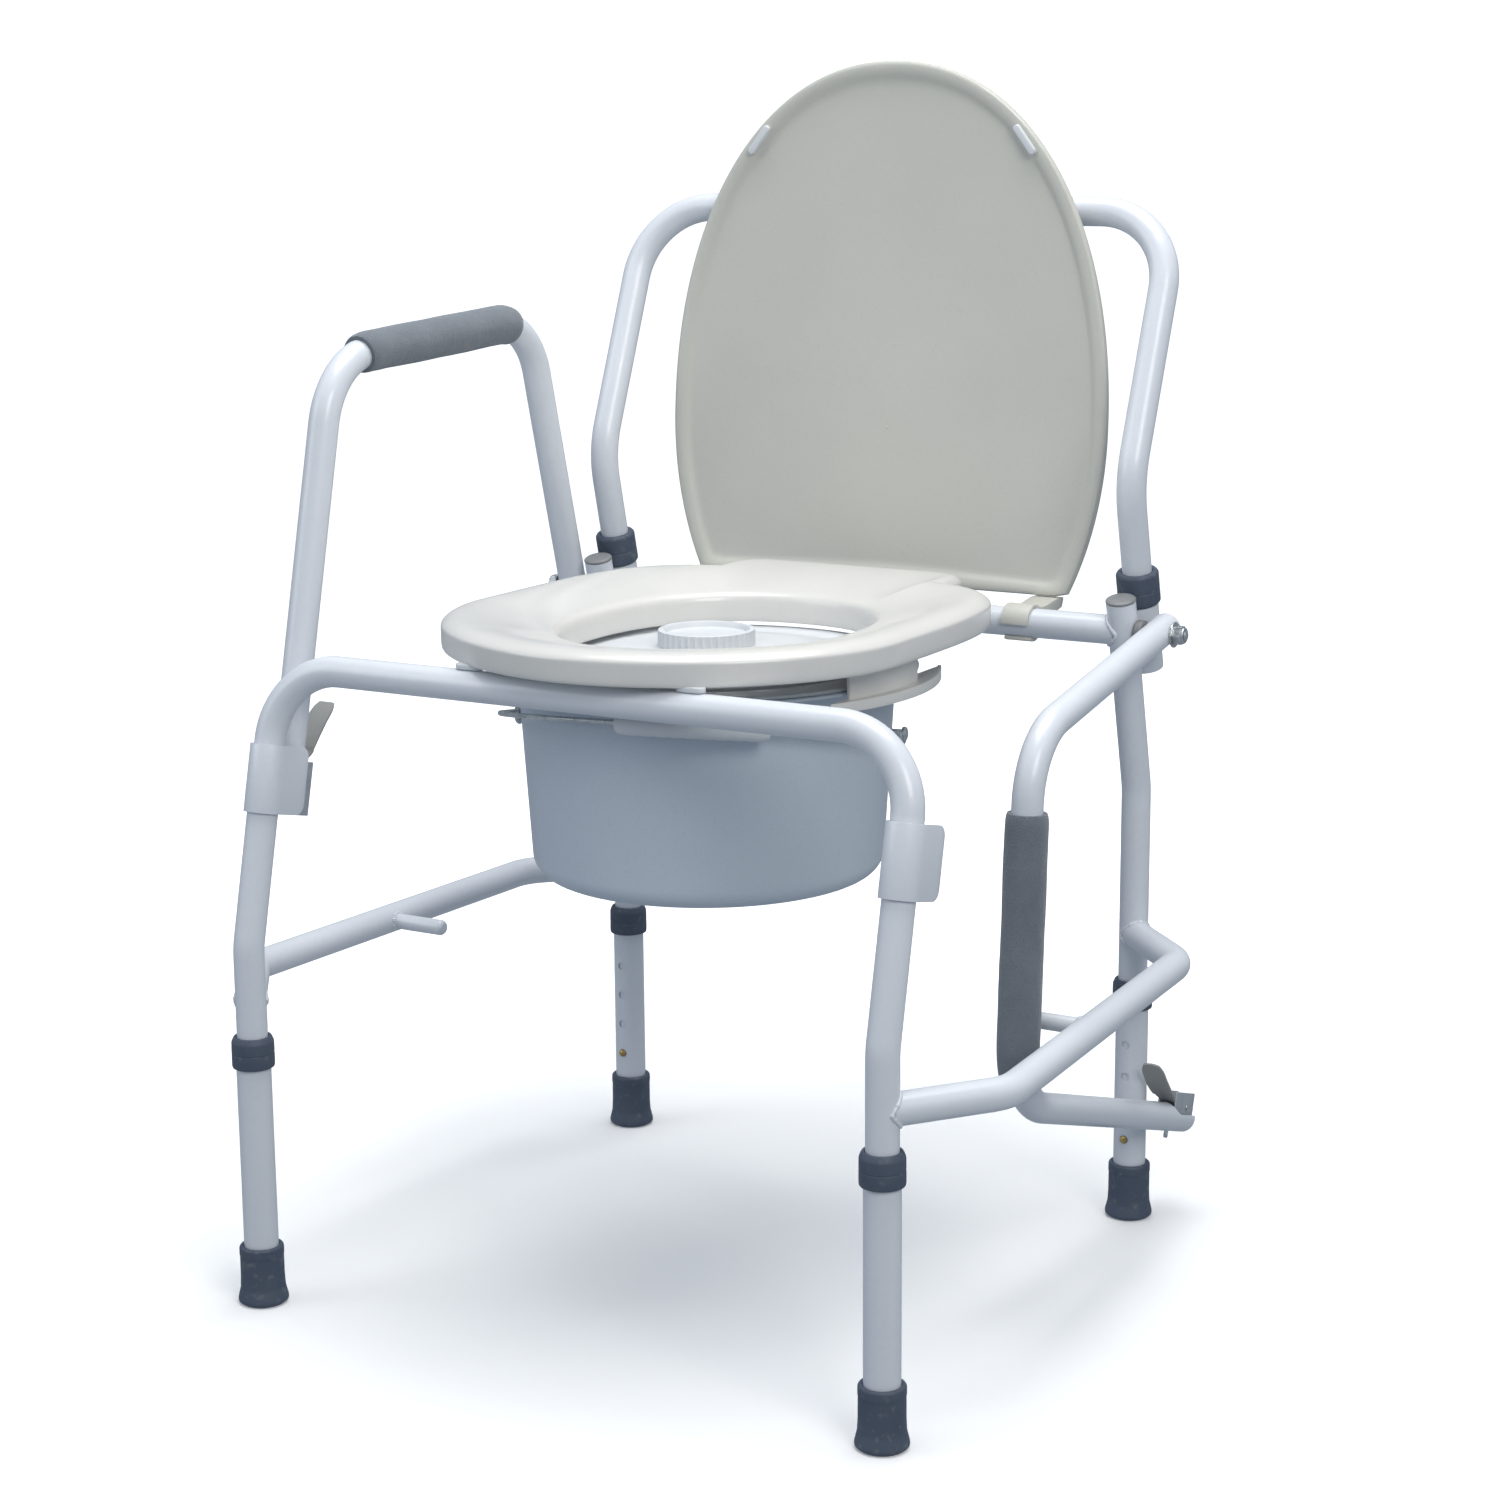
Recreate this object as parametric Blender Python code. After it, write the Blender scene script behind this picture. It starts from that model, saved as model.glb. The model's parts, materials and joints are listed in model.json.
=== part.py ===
"""Drop-arm commode chair: steel tube frame, folding armrests, lift-up seat and lid, pail."""

import bpy
import bmesh
import math
from mathutils import Matrix, Vector

MM = 0.001

# Tube sizes, outside radius and wall
R_TUBE = 11.1 * MM
WALL = 1.3 * MM
R_LEG = 12.7 * MM
LEG_BORE = 11.5 * MM
HOLE_PITCH = 25.4 * MM

# Front frame
X_FRONT = 254 * MM
Z_FRONT_KNEE = 267 * MM
Z_FRONT_BAR = 464 * MM
Y_FRONT_BAR = 45.5 * MM
R_FRONT_BEND = 54 * MM
Z_CATCH = 391.6 * MM
Z_TUBE_END = 50 * MM

# Rear posts
X_REAR = 229 * MM
Y_REAR = 465 * MM
Z_REAR_KNEE = 343 * MM
Y_POST_TOP = 428.5 * MM
Z_POST_TOP = 490 * MM
Y_AXLE = 434 * MM
Z_AXLE = 467.5 * MM

# Side rails
Z_RAIL = 228 * MM
RAIL_FRONT = (308 * MM, 72 * MM)
RAIL_REAR = (291 * MM, 403 * MM)
R_RAIL_BEND = 34 * MM
PEG_Y = 224.4 * MM
PEG_TIP_X = 245 * MM

# Armrest: its three straight runs, its drop, and its pad measured from the latch end
X_ARM = 257.5 * MM
X_ARM_TIP = 254 * MM
ARM_REAR_RUN = 227.2 * MM
ARM_REAR_TILT = 105.0
ARM_TOP_RUN = 256.5 * MM
ARM_TOP_TILT = 182.64
ARM_FRONT_RUN = 326.4 * MM
ARM_FRONT_TILT = 256.8
R_ARM_REAR_BEND = 55 * MM
R_ARM_FRONT_BEND = 62 * MM
ARM_DROP = 85.0
PAD_LENGTH = 196 * MM
PAD_START = {-1: 347 * MM, 1: 324 * MM}
R_PAD = 15.3 * MM

# Backrest
X_BACK = 230 * MM
SLEEVE_BACK = 31 * MM
Z_BACK_KNEE = 577 * MM
BACK_LEAN = 0.41
Z_BACK_TOP = 770 * MM
R_BACK_BEND = 60 * MM

# Seat and lid
SEAT_HALF = 175 * MM
SEAT_FRONT = 18 * MM
SEAT_WIDEST = 175 * MM
SEAT_REAR = 407 * MM
TONGUE_HALF = 98 * MM
TONGUE_BACK = 449 * MM
Z_SEAT_UNDER = 483 * MM
Z_SEAT_SKIRT = 477.5 * MM
Z_SEAT_CROWN = 500.5 * MM
Z_SEAT_GUARD = 466.5 * MM
HOLE_HALF = 104 * MM
HOLE_FRONT = 106 * MM
HOLE_BACK = 358 * MM
LID_HALF = 190 * MM
LID_FOOT = 16 * MM
LID_WIDEST = 143 * MM
LID_LENGTH = 419 * MM
LID_LEAN = 3.4
LID_STANDOFF = 43 * MM
LID_DEPTH = 10 * MM

# Pail
Y_PAIL = 215 * MM
R_PAIL_TOP = 136.5 * MM
R_PAIL_FOOT = 127.5 * MM
R_PAIL_CORNER = 16 * MM
Z_PAIL_TOP = 458.6 * MM
Z_PAIL_FOOT = 308 * MM
PAIL_WALL = 2.5 * MM

TUBE_SIDES = 14
GAP = 0.3 * MM
Y_MIDDLE = 255.54 * MM  # middle of the chair's depth, where the finished part has y = 0

for old in list(bpy.data.objects):
    bpy.data.objects.remove(old, do_unlink=True)


# ---------------------------------------------------------------- materials

def material(name, colour, rough, metal=0.0):
    mat = bpy.data.materials.new(name)
    mat.use_nodes = True
    shader = mat.node_tree.nodes["Principled BSDF"]
    shader.inputs["Base Color"].default_value = (*colour, 1.0)
    shader.inputs["Roughness"].default_value = rough
    shader.inputs["Metallic"].default_value = metal
    mat.diffuse_color = (*colour, 1.0)
    return mat


WHITE = material("powder_coat", (0.80, 0.81, 0.84), 0.32)
SEAT_PLASTIC = material("seat_plastic", (0.78, 0.76, 0.72), 0.35)
LID_PLASTIC = material("lid_plastic", (0.68, 0.66, 0.60), 0.42)
PAIL_PLASTIC = material("pail_plastic", (0.56, 0.61, 0.68), 0.45)
PAIL_LID_PLASTIC = material("pail_lid_plastic", (0.74, 0.76, 0.78), 0.42)
FOAM = material("foam", (0.22, 0.26, 0.31), 0.9)
RUBBER = material("rubber", (0.075, 0.095, 0.14), 0.6)
CAP_PLASTIC = material("cap_plastic", (0.28, 0.28, 0.29), 0.5)
ZINC = material("zinc", (0.72, 0.74, 0.74), 0.28, 1.0)
SHEET = material("latch_sheet", (0.52, 0.54, 0.57), 0.45, 0.6)
PADDLE = material("latch_paddle", (0.36, 0.36, 0.35), 0.5)
BRASS = material("brass", (0.72, 0.55, 0.25), 0.35, 1.0)


# ---------------------------------------------------------------- mesh tools

def make(name, verts, faces, mat, smooth=35):
    mesh = bpy.data.meshes.new(name)
    mesh.from_pydata([tuple(v) for v in verts], [], faces)
    work = bmesh.new()
    work.from_mesh(mesh)
    bmesh.ops.recalc_face_normals(work, faces=work.faces)
    work.to_mesh(mesh)
    work.free()
    mesh.materials.append(mat)
    obj = bpy.data.objects.new(name, mesh)
    bpy.context.scene.collection.objects.link(obj)
    if smooth:
        for poly in mesh.polygons:
            poly.use_smooth = True
        mesh.set_sharp_from_angle(angle=math.radians(smooth))
    return obj


def seat_origin(obj, point):
    """Moves an object's origin to a joint axis without moving its shape."""
    point = Vector(point)
    obj.data.transform(Matrix.Translation(-point))
    obj.location = point
    return obj


def cut(obj, cutter, name):
    """Takes a hidden cutter away from an object."""
    cutter.hide_render = True
    cutter.hide_viewport = False
    cutter.display_type = "WIRE"
    mod = obj.modifiers.new(name, "BOOLEAN")
    mod.operation = "DIFFERENCE"
    mod.solver = "EXACT"
    mod.object = cutter
    return obj


def fillet(points, radii, steps=5):
    """Rounds the inner corners of a polyline; returns the new points."""
    pts = [Vector(p) for p in points]
    out = [pts[0]]
    for i in range(1, len(pts) - 1):
        a = (pts[i - 1] - pts[i]).normalized()
        b = (pts[i + 1] - pts[i]).normalized()
        angle = a.angle(b)
        reach = radii[i - 1] / math.tan(angle / 2)
        start = pts[i] + a * reach
        middle = (a + b).normalized() * (radii[i - 1] / math.sin(angle / 2))
        centre = pts[i] + middle
        first = start - centre
        axis = first.cross(pts[i] + b * reach - centre).normalized()
        turn = math.pi - angle
        count = max(2, round(steps * turn / 1.4))
        for k in range(count + 1):
            out.append(centre + Matrix.Rotation(turn * k / count, 3, axis) @ first)
    out.append(pts[-1])
    return out


def sweep_rings(path, radius, sides, up=(0, 1, 0)):
    """Rings of points around a path, carried along it without twist."""
    tangents = []
    for i in range(len(path)):
        before = path[i] - path[i - 1] if i else path[1] - path[0]
        after = path[i + 1] - path[i] if i < len(path) - 1 else before
        tangents.append((before.normalized() + after.normalized()).normalized())
    side = tangents[0].cross(Vector(up)).normalized()
    rings = []
    for i, point in enumerate(path):
        side = (side - tangents[i] * side.dot(tangents[i])).normalized()
        other = tangents[i].cross(side)
        ring = []
        for k in range(sides):
            turn = 2 * math.pi * k / sides
            ring.append(point + radius * (math.cos(turn) * side + math.sin(turn) * other))
        rings.append(ring)
    return rings


def bridge(first, second, sides, closed=True):
    faces = []
    for k in range(sides if closed else sides - 1):
        n = (k + 1) % sides
        faces.append((first + k, first + n, second + n, second + k))
    return faces


def tube(name, path, radius, mat, wall=WALL, sides=TUBE_SIDES, up=(0, 1, 0)):
    """A hollow tube open at both ends, or a solid rod when wall is 0."""
    verts = []
    faces = []
    outer = sweep_rings(path, radius, sides, up)
    for ring in outer:
        verts += ring
    count = len(path)
    for i in range(count - 1):
        faces += bridge(i * sides, (i + 1) * sides, sides)
    if not wall:
        faces.append(tuple(range(sides)))
        faces.append(tuple(reversed(range((count - 1) * sides, count * sides))))
        return make(name, verts, faces, mat)
    base = count * sides
    for ring in sweep_rings(path, radius - wall, sides, up):
        verts += ring
    for i in range(count - 1):
        faces += bridge(base + i * sides, base + (i + 1) * sides, sides)
    faces += bridge(0, base, sides)
    faces += bridge((count - 1) * sides, base + (count - 1) * sides, sides)
    return make(name, verts, faces, mat)


def lathe(name, profile, centre, mat, sides=24, axis="Z", smooth=35):
    """Turns a closed (radius, height) loop about an axis through centre."""
    verts = []
    faces = []
    slots = []
    for radius, height in profile:
        if radius < 1e-9:
            slots.append((len(verts), 1))
            verts.append(Vector((0, 0, height)))
            continue
        slots.append((len(verts), sides))
        for k in range(sides):
            turn = 2 * math.pi * (k + 0.5) / sides
            verts.append(Vector((radius * math.cos(turn), radius * math.sin(turn), height)))
    for (a, na), (b, nb) in zip(slots, slots[1:] + slots[:1]):
        if na == 1 and nb == 1:
            continue
        for k in range(sides):
            n = (k + 1) % sides
            if na == 1:
                faces.append((a, b + n, b + k))
            elif nb == 1:
                faces.append((a + k, a + n, b))
            else:
                faces.append((a + k, a + n, b + n, b + k))
    turn = Matrix.Identity(3)
    if axis == "X":
        turn = Matrix.Rotation(math.radians(90), 3, "Y")
    if axis == "Y":
        turn = Matrix.Rotation(math.radians(-90), 3, "X")
    centre = Vector(centre)
    return make(name, [turn @ v + centre for v in verts], faces, mat, smooth)


def prism(name, outline, depth, place, mat, smooth=35):
    """Extrudes a flat (u, v) outline by depth on both sides of its plane."""
    count = len(outline)
    verts = [place @ Vector((u, v, -depth)) for u, v in outline]
    verts += [place @ Vector((u, v, depth)) for u, v in outline]
    faces = [tuple(reversed(range(count))), tuple(range(count, 2 * count))]
    faces += bridge(0, count, count)
    return make(name, verts, faces, mat, smooth)


def box(name, low, high, mat):
    outline = [(low[0], low[1]), (high[0], low[1]), (high[0], high[1]), (low[0], high[1])]
    place = Matrix.Translation((0, 0, (low[2] + high[2]) / 2))
    return prism(name, outline, (high[2] - low[2]) / 2, place, mat, 0)


def rod(name, start, end, radius, mat, sides=12, up=(0, 1, 0)):
    return tube(name, [Vector(start), Vector(end)], radius, mat, 0, sides, up)


# ---------------------------------------------------------------- front frame

def side_name(side):
    return "left" if side < 0 else "right"


def leg_slot(name, x, y, low, high, half, reach):
    """A flat cutter block standing across one wall of a tube."""
    return box(name, (x - half, min(y, reach), low), (x + half, max(y, reach), high), WHITE)


def front_frame():
    ends = [(-X_FRONT, 0, Z_TUBE_END), (-X_FRONT, 0, Z_FRONT_KNEE)]
    ends += [(-X_FRONT, Y_FRONT_BAR, Z_FRONT_BAR), (X_FRONT, Y_FRONT_BAR, Z_FRONT_BAR)]
    ends += [(X_FRONT, 0, Z_FRONT_KNEE), (X_FRONT, 0, Z_TUBE_END)]
    path = fillet(ends, [60 * MM, R_FRONT_BEND, R_FRONT_BEND, 60 * MM])
    frame = tube("front_frame", path, R_TUBE, WHITE)
    for side in (-1, 1):
        x = side * X_FRONT
        notch = leg_slot(f"cut_front_notch_{side}", x, 0.004, 0.04, 0.072, 0.0042, 0.02)
        cut(frame, notch, f"notch_{side}")
        place = tilt_frame(x, front_leg_y(Z_CATCH), Z_CATCH, FRONT_LEAN)
        slot = box(f"cut_catch_slot_{side}", (-3.5 * MM, 4 * MM, -32 * MM),
                   (3.5 * MM, 20 * MM, 6 * MM), WHITE)
        slot.data.transform(place)
        cut(frame, slot, f"catch_{side}")


def lean(point_z, z_low, z_high, y_low, y_high):
    return y_low + (point_z - z_low) * (y_high - y_low) / (z_high - z_low)


def front_leg_y(z):
    return lean(z, Z_FRONT_KNEE, Z_FRONT_BAR, 0, Y_FRONT_BAR)


def post_y(z):
    return lean(z, Z_REAR_KNEE, Z_POST_TOP, Y_REAR, Y_POST_TOP)


def rear_leg(side):
    x = side * X_REAR
    corners = [(x, Y_REAR, Z_TUBE_END), (x, Y_REAR, Z_REAR_KNEE), (x, Y_POST_TOP, Z_POST_TOP)]
    leg = tube(f"rear_leg_{side_name(side)}", fillet(corners, [60 * MM]), R_TUBE, WHITE,
               up=(1, 0, 0))
    notch = leg_slot(f"cut_rear_notch_{side}", x, Y_REAR - 0.02, 0.04, 0.072, 0.0042,
                     Y_REAR - 0.004)
    cut(leg, notch, "notch")
    y = post_y(Z_AXLE)
    bore = rod(f"cut_post_bore_{side}", (x, y, Z_AXLE), (x + side * 0.02, y, Z_AXLE),
               4.15 * MM, WHITE, 16)
    cut(leg, bore, "axle_bore")


def cope(obj, name, start, end, up=(1, 0, 0)):
    """Shapes a tube end to sit round the tube that it is welded to."""
    cutter = rod(name, start, end, R_TUBE + 0.15 * MM, WHITE, TUBE_SIDES, up)
    cut(obj, cutter, name)


def crossbar():
    reach = X_REAR - 4 * MM
    bar = tube("rear_crossbar", [Vector((-reach, Y_AXLE, Z_AXLE)),
                                 Vector((reach, Y_AXLE, Z_AXLE))], R_TUBE, WHITE)
    for side in (-1, 1):
        x = side * X_REAR
        cope(bar, f"cut_cope_bar_{side}", (x, post_y(0.42), 0.42), (x, post_y(0.51), 0.51))


def side_rail(side):
    front = (side * X_FRONT, 0, Z_RAIL)
    rear = (side * X_REAR, Y_REAR, Z_RAIL)
    corners = [front, (side * RAIL_FRONT[0], RAIL_FRONT[1], Z_RAIL)]
    corners += [(side * RAIL_REAR[0], RAIL_REAR[1], Z_RAIL), rear]
    path = fillet(corners, [R_RAIL_BEND, R_RAIL_BEND])
    path[0] = path[0].lerp(path[1], 4 * MM / (path[1] - path[0]).length)
    path[-1] = path[-1].lerp(path[-2], 4 * MM / (path[-1] - path[-2]).length)
    rail = tube(f"side_rail_{side_name(side)}", path, R_TUBE, WHITE, up=(0, 0, 1))
    for end, place, up in (("front", front, (0, 1, 0)), ("rear", rear, (1, 0, 0))):
        low = (place[0], place[1], Z_RAIL - 0.03)
        high = (place[0], place[1], Z_RAIL + 0.03)
        cope(rail, f"cut_cope_{end}_{side}", low, high, up)


def rail_x(y):
    """Distance of the side rail's straight run from the middle, at y."""
    share = (y - RAIL_FRONT[1]) / (RAIL_REAR[1] - RAIL_FRONT[1])
    return RAIL_FRONT[0] + share * (RAIL_REAR[0] - RAIL_FRONT[0])


def stop_peg(side):
    root = rail_x(PEG_Y) * side
    radius = 6 * MM
    long = abs(root) - PEG_TIP_X
    profile = [(0, 0), (4 * MM, 0), (radius, 2.5 * MM), (radius, long), (0, long)]
    name = f"stop_peg_{side_name(side)}"
    peg = lathe(name, profile, (0, 0, 0), WHITE, 14)
    turn = Matrix.Rotation(math.radians(90 * side), 4, "Y")
    peg.data.transform(Matrix.Translation((side * PEG_TIP_X, PEG_Y, Z_RAIL)) @ turn)
    ahead = Vector((side * (RAIL_REAR[0] - RAIL_FRONT[0]), RAIL_REAR[1] - RAIL_FRONT[1], 0))
    ahead.normalize()
    middle = Vector((root, PEG_Y, Z_RAIL))
    cutter = rod(f"cut_cope_peg_{side}", middle - ahead * 0.03, middle + ahead * 0.03,
                 R_TUBE + 0.15 * MM, WHITE, TUBE_SIDES, (0, 0, 1))
    cut(peg, cutter, "cope")


def tilt_frame(x, y, z, direction):
    """Places local Z along a direction in the YZ plane and keeps local X as X."""
    up = Vector(direction).normalized()
    across = Vector((1, 0, 0))
    back = up.cross(across)
    turn = Matrix((across, back, up)).transposed().to_4x4()
    return Matrix.Translation((x, y, z)) @ turn


FRONT_LEAN = (0, Y_FRONT_BAR, Z_FRONT_BAR - Z_FRONT_KNEE)
POST_LEAN = (0, Y_POST_TOP - Y_REAR, Z_POST_TOP - Z_REAR_KNEE)


def catch_bracket(side):
    """A plate bent round the leg, its two flanges open to the rear."""
    inner = 12.0 * MM
    plate = 1.6 * MM
    reach = 29 * MM
    half = 24.5 * MM
    corner = 8 * MM
    columns = []
    for step in (0, 0.12, 0.3, 0.55, 1.0):
        columns.append((1, reach - corner * step))
    columns.append((1, reach * 0.35))
    for k in range(9):
        columns.append((0, k * 180 / 8))
    columns.append((-1, reach * 0.35))
    for step in (1.0, 0.55, 0.3, 0.12, 0):
        columns.append((-1, reach - corner * step))
    verts = []
    for kind, value in columns:
        high = half
        if kind:
            into = max(0, value - (reach - corner))
            high = half - (corner - math.sqrt(max(0, corner ** 2 - into ** 2)))
        for radius in (inner + plate, inner):
            for z in (-high, high):
                if kind:
                    verts.append((kind * radius, value, z))
                    continue
                turn = math.radians(value)
                verts.append((radius * math.cos(turn), -radius * math.sin(turn), z))
    faces = [(0, 1, 3, 2)]
    for i in range(len(columns) - 1):
        a = 4 * i
        b = a + 4
        faces += [(a, b, b + 1, a + 1), (a + 2, a + 3, b + 3, b + 2)]
        faces += [(a, a + 2, b + 2, b), (a + 1, b + 1, b + 3, a + 3)]
    last = 4 * (len(columns) - 1)
    faces.append((last, last + 2, last + 3, last + 1))
    z = 385 * MM
    place = tilt_frame(side * X_FRONT, front_leg_y(z), z, FRONT_LEAN)
    make(f"catch_bracket_{side_name(side)}", [place @ Vector(v) for v in verts],
         faces, WHITE)


def post_cap(side):
    profile = [(0, 3 * MM), (10.6 * MM, 3 * MM), (11.4 * MM, 2.2 * MM), (11.4 * MM, GAP)]
    profile += [(9.4 * MM, GAP), (9.0 * MM, -8 * MM), (0, -8 * MM)]
    cap = lathe(f"post_cap_{side_name(side)}", profile, (0, 0, 0), CAP_PLASTIC, 20)
    cap.data.transform(tilt_frame(side * X_REAR, Y_POST_TOP, Z_POST_TOP, POST_LEAN))


def sleeve_y(z):
    """Middle of the backrest sleeve, behind the post."""
    return post_y(z) + SLEEVE_BACK / math.cos(math.radians(14))


def backrest_sleeve(side):
    outer = 14.0 * MM
    web = 2.2 * MM
    reach = SLEEVE_BACK - R_TUBE - GAP
    outline = [(web, -reach), (-web, -reach)] + sleeve_round(outer, web)
    z = 459 * MM
    place = tilt_frame(side * X_BACK, sleeve_y(z), z, POST_LEAN)
    sleeve = prism(f"backrest_sleeve_{side_name(side)}", outline, 26 * MM, place, WHITE)
    bore = rod(f"cut_sleeve_{side}", place @ Vector((0, 0, -0.04)), place @ Vector((0, 0, 0.04)),
               R_TUBE + 0.4 * MM, WHITE, 20, (1, 0, 0))
    cut(sleeve, bore, "bore")


def sleeve_round(outer, web):
    """The round part of the sleeve's section, from one side of the web to the other."""
    start = math.asin(web / outer)
    points = []
    for k in range(19):
        turn = start + (2 * math.pi - 2 * start) * k / 18
        points.append((-outer * math.sin(turn), -outer * math.cos(turn)))
    return points


def ring(name, low, high, inner, outer, mat, place, sides=20, lip=0.8):
    lip = lip * MM
    profile = [(inner, low), (outer - lip, low), (outer, low + lip), (outer, high - lip)]
    profile += [(outer - lip, high), (inner, high)]
    obj = lathe(name, profile, (0, 0, 0), mat, sides)
    obj.data.transform(place)
    return obj


def backrest_collar(side):
    z = 499 * MM
    place = tilt_frame(side * X_BACK, sleeve_y(z), z, POST_LEAN)
    ring(f"backrest_collar_{side_name(side)}", -14 * MM, 11 * MM, R_TUBE + 0.5 * MM,
         16 * MM, RUBBER, place)


def backrest_path():
    low = 442 * MM
    corners = [(-X_BACK, sleeve_y(low), low), (-X_BACK, sleeve_y(Z_BACK_KNEE), Z_BACK_KNEE)]
    y_top = sleeve_y(Z_BACK_KNEE) + (Z_BACK_TOP - Z_BACK_KNEE) * BACK_LEAN
    corners.append((-X_BACK, y_top, Z_BACK_TOP))
    corners += [(-x, y, z) for x, y, z in reversed(corners)]
    return fillet(corners, [70 * MM, R_BACK_BEND, R_BACK_BEND, 70 * MM], 6)


def backrest():
    return tube("backrest_tube", backrest_path(), R_TUBE, WHITE)


# ---------------------------------------------------------------- legs

def leg_places():
    for side in (-1, 1):
        yield f"front_{side_name(side)}", side * X_FRONT, 0.0, 1, 188 * MM
        yield f"rear_{side_name(side)}", side * X_REAR, Y_REAR, -1, 178 * MM


def leg_extension(label, x, y, facing, top):
    holes = [65 * MM + HOLE_PITCH * k for k in range(4)]
    ring_profile = [(LEG_BORE, 8 * MM), (R_LEG, 8 * MM), (R_LEG, top), (LEG_BORE, top)]
    tube_obj = lathe(f"leg_extension_{label}", ring_profile, (x, y, 0), WHITE, 16)
    verts = []
    faces = []
    for z in holes:
        start = Vector((x, y + facing * 0.004, z))
        end = Vector((x, y + facing * 0.02, z))
        base = len(verts)
        for loop in sweep_rings([start, end], 3.3 * MM, 12, (1, 0, 0)):
            verts += loop
        faces += bridge(base, base + 12, 12)
        faces.append(tuple(range(base, base + 12)))
        faces.append(tuple(reversed(range(base + 12, base + 24))))
    cutter = make(f"cut_holes_{label}", verts, faces, WHITE, 0)
    cut(tube_obj, cutter, "holes")
    seat_origin(tube_obj, (x, y, 0))


def leg_collar(label, x, y, top):
    profile = [(R_LEG + GAP, top - 9 * MM), (15 * MM, top - 9 * MM), (15.2 * MM, top - 8 * MM)]
    profile += [(15.2 * MM, top + 10 * MM), (13.4 * MM, top + 14 * MM)]
    profile += [(R_TUBE + GAP, top + 14 * MM), (R_TUBE + GAP, top + GAP)]
    profile += [(R_LEG + GAP, top + GAP)]
    obj = lathe(f"leg_collar_{label}", profile, (x, y, 0), RUBBER, 16)
    seat_origin(obj, (x, y, 0))


def foot_tip(label, x, y):
    bore = R_LEG + GAP
    profile = [(0, 0), (15.0 * MM, 0), (18.2 * MM, 2.0 * MM), (18.2 * MM, 4.5 * MM)]
    profile += [(16.3 * MM, 11 * MM), (15.8 * MM, 30 * MM), (15.8 * MM, 42.5 * MM)]
    profile += [(15.0 * MM, 44 * MM), (bore, 44 * MM), (bore, 7.5 * MM), (0, 7.5 * MM)]
    obj = lathe(f"foot_tip_{label}", profile, (x, y, 0), RUBBER, 16)
    seat_origin(obj, (x, y, 0))


def snap_button(label, x, y, facing):
    profile = [(0, 8.8 * MM), (3.0 * MM, 8.8 * MM), (3.0 * MM, 13.2 * MM)]
    profile += [(2.4 * MM, 14.4 * MM), (0, 14.9 * MM)]
    button = lathe(f"snap_button_{label}", profile, (0, 0, 0), BRASS, 12)
    turn = Matrix.Rotation(math.radians(-90 * facing), 4, "X")
    button.data.transform(Matrix.Translation((x, y, 65 * MM)) @ turn)
    seat_origin(button, (x, y, 65 * MM))


# ---------------------------------------------------------------- armrests

def arm_corners():
    """Pivot end, rear corner, front corner and latch end, in the YZ plane at full height."""
    def along(point, degrees, reach):
        turn = math.radians(degrees)
        return Vector((0, point.y + reach * math.cos(turn), point.z + reach * math.sin(turn)))

    pivot = Vector((0, post_y(Z_AXLE), Z_AXLE))
    rear = along(pivot, ARM_REAR_TILT, ARM_REAR_RUN)
    front = along(rear, ARM_TOP_TILT, ARM_TOP_RUN)
    tip = along(front, ARM_FRONT_TILT, ARM_FRONT_RUN)
    foot = along(pivot, ARM_REAR_TILT + 180, 15 * MM)
    return pivot, [foot, rear, front, tip]


PIVOT, ARM_LINE = arm_corners()
ARM_PATH = fillet(ARM_LINE, [R_ARM_REAR_BEND, R_ARM_FRONT_BEND])


def portion(path, start, length):
    """The stretch of a path from one distance along it, for a length."""
    out = []
    gone = 0.0
    for a, b in zip(path, path[1:]):
        step = (b - a).length
        low = max(start, gone)
        high = min(start + length, gone + step)
        if low < high:
            first = a.lerp(b, (low - gone) / step)
            if not out:
                out.append(first)
            out.append(a.lerp(b, (high - gone) / step))
        gone += step
    return out


def arm_offset(point, side):
    """Sets a point of the arm's line out to its side; the arm toes in to its tip."""
    share = min(1.0, max(0.0, (point.y - ARM_LINE[2].y) / (PIVOT.y - ARM_LINE[2].y)))
    return Vector((side * (X_ARM_TIP + share * (X_ARM - X_ARM_TIP)), point.y, point.z))


def place_arm_piece(obj, side, own=None):
    """Hangs an arm piece on its pivot, or on a joint of its own; the right arm is dropped."""
    pivot = Vector((side * X_ARM, PIVOT.y, PIVOT.z))
    if own is None:
        seat_origin(obj, pivot)
    else:
        seat_origin(obj, own)
    if side > 0:
        drop = Matrix.Rotation(math.radians(ARM_DROP), 3, "X")
        obj.location = pivot + drop @ (obj.location - pivot)
        obj.rotation_euler.x = math.radians(ARM_DROP)
    return obj


def latch_frame(side):
    """Local Z runs up the arm's front run from its tip, local Y points inwards."""
    tip = arm_offset(ARM_LINE[3], side)
    up = (ARM_LINE[2] - ARM_LINE[3]).normalized()
    return tilt_frame(tip.x, tip.y, tip.z, up)


def side_plane(frame):
    """Turns a frame so that an outline's (u, v) lie on its local Y and Z."""
    return frame @ Matrix(((0, 0, 1, 0), (1, 0, 0, 0), (0, 1, 0, 0), (0, 0, 0, 1)))


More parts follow.
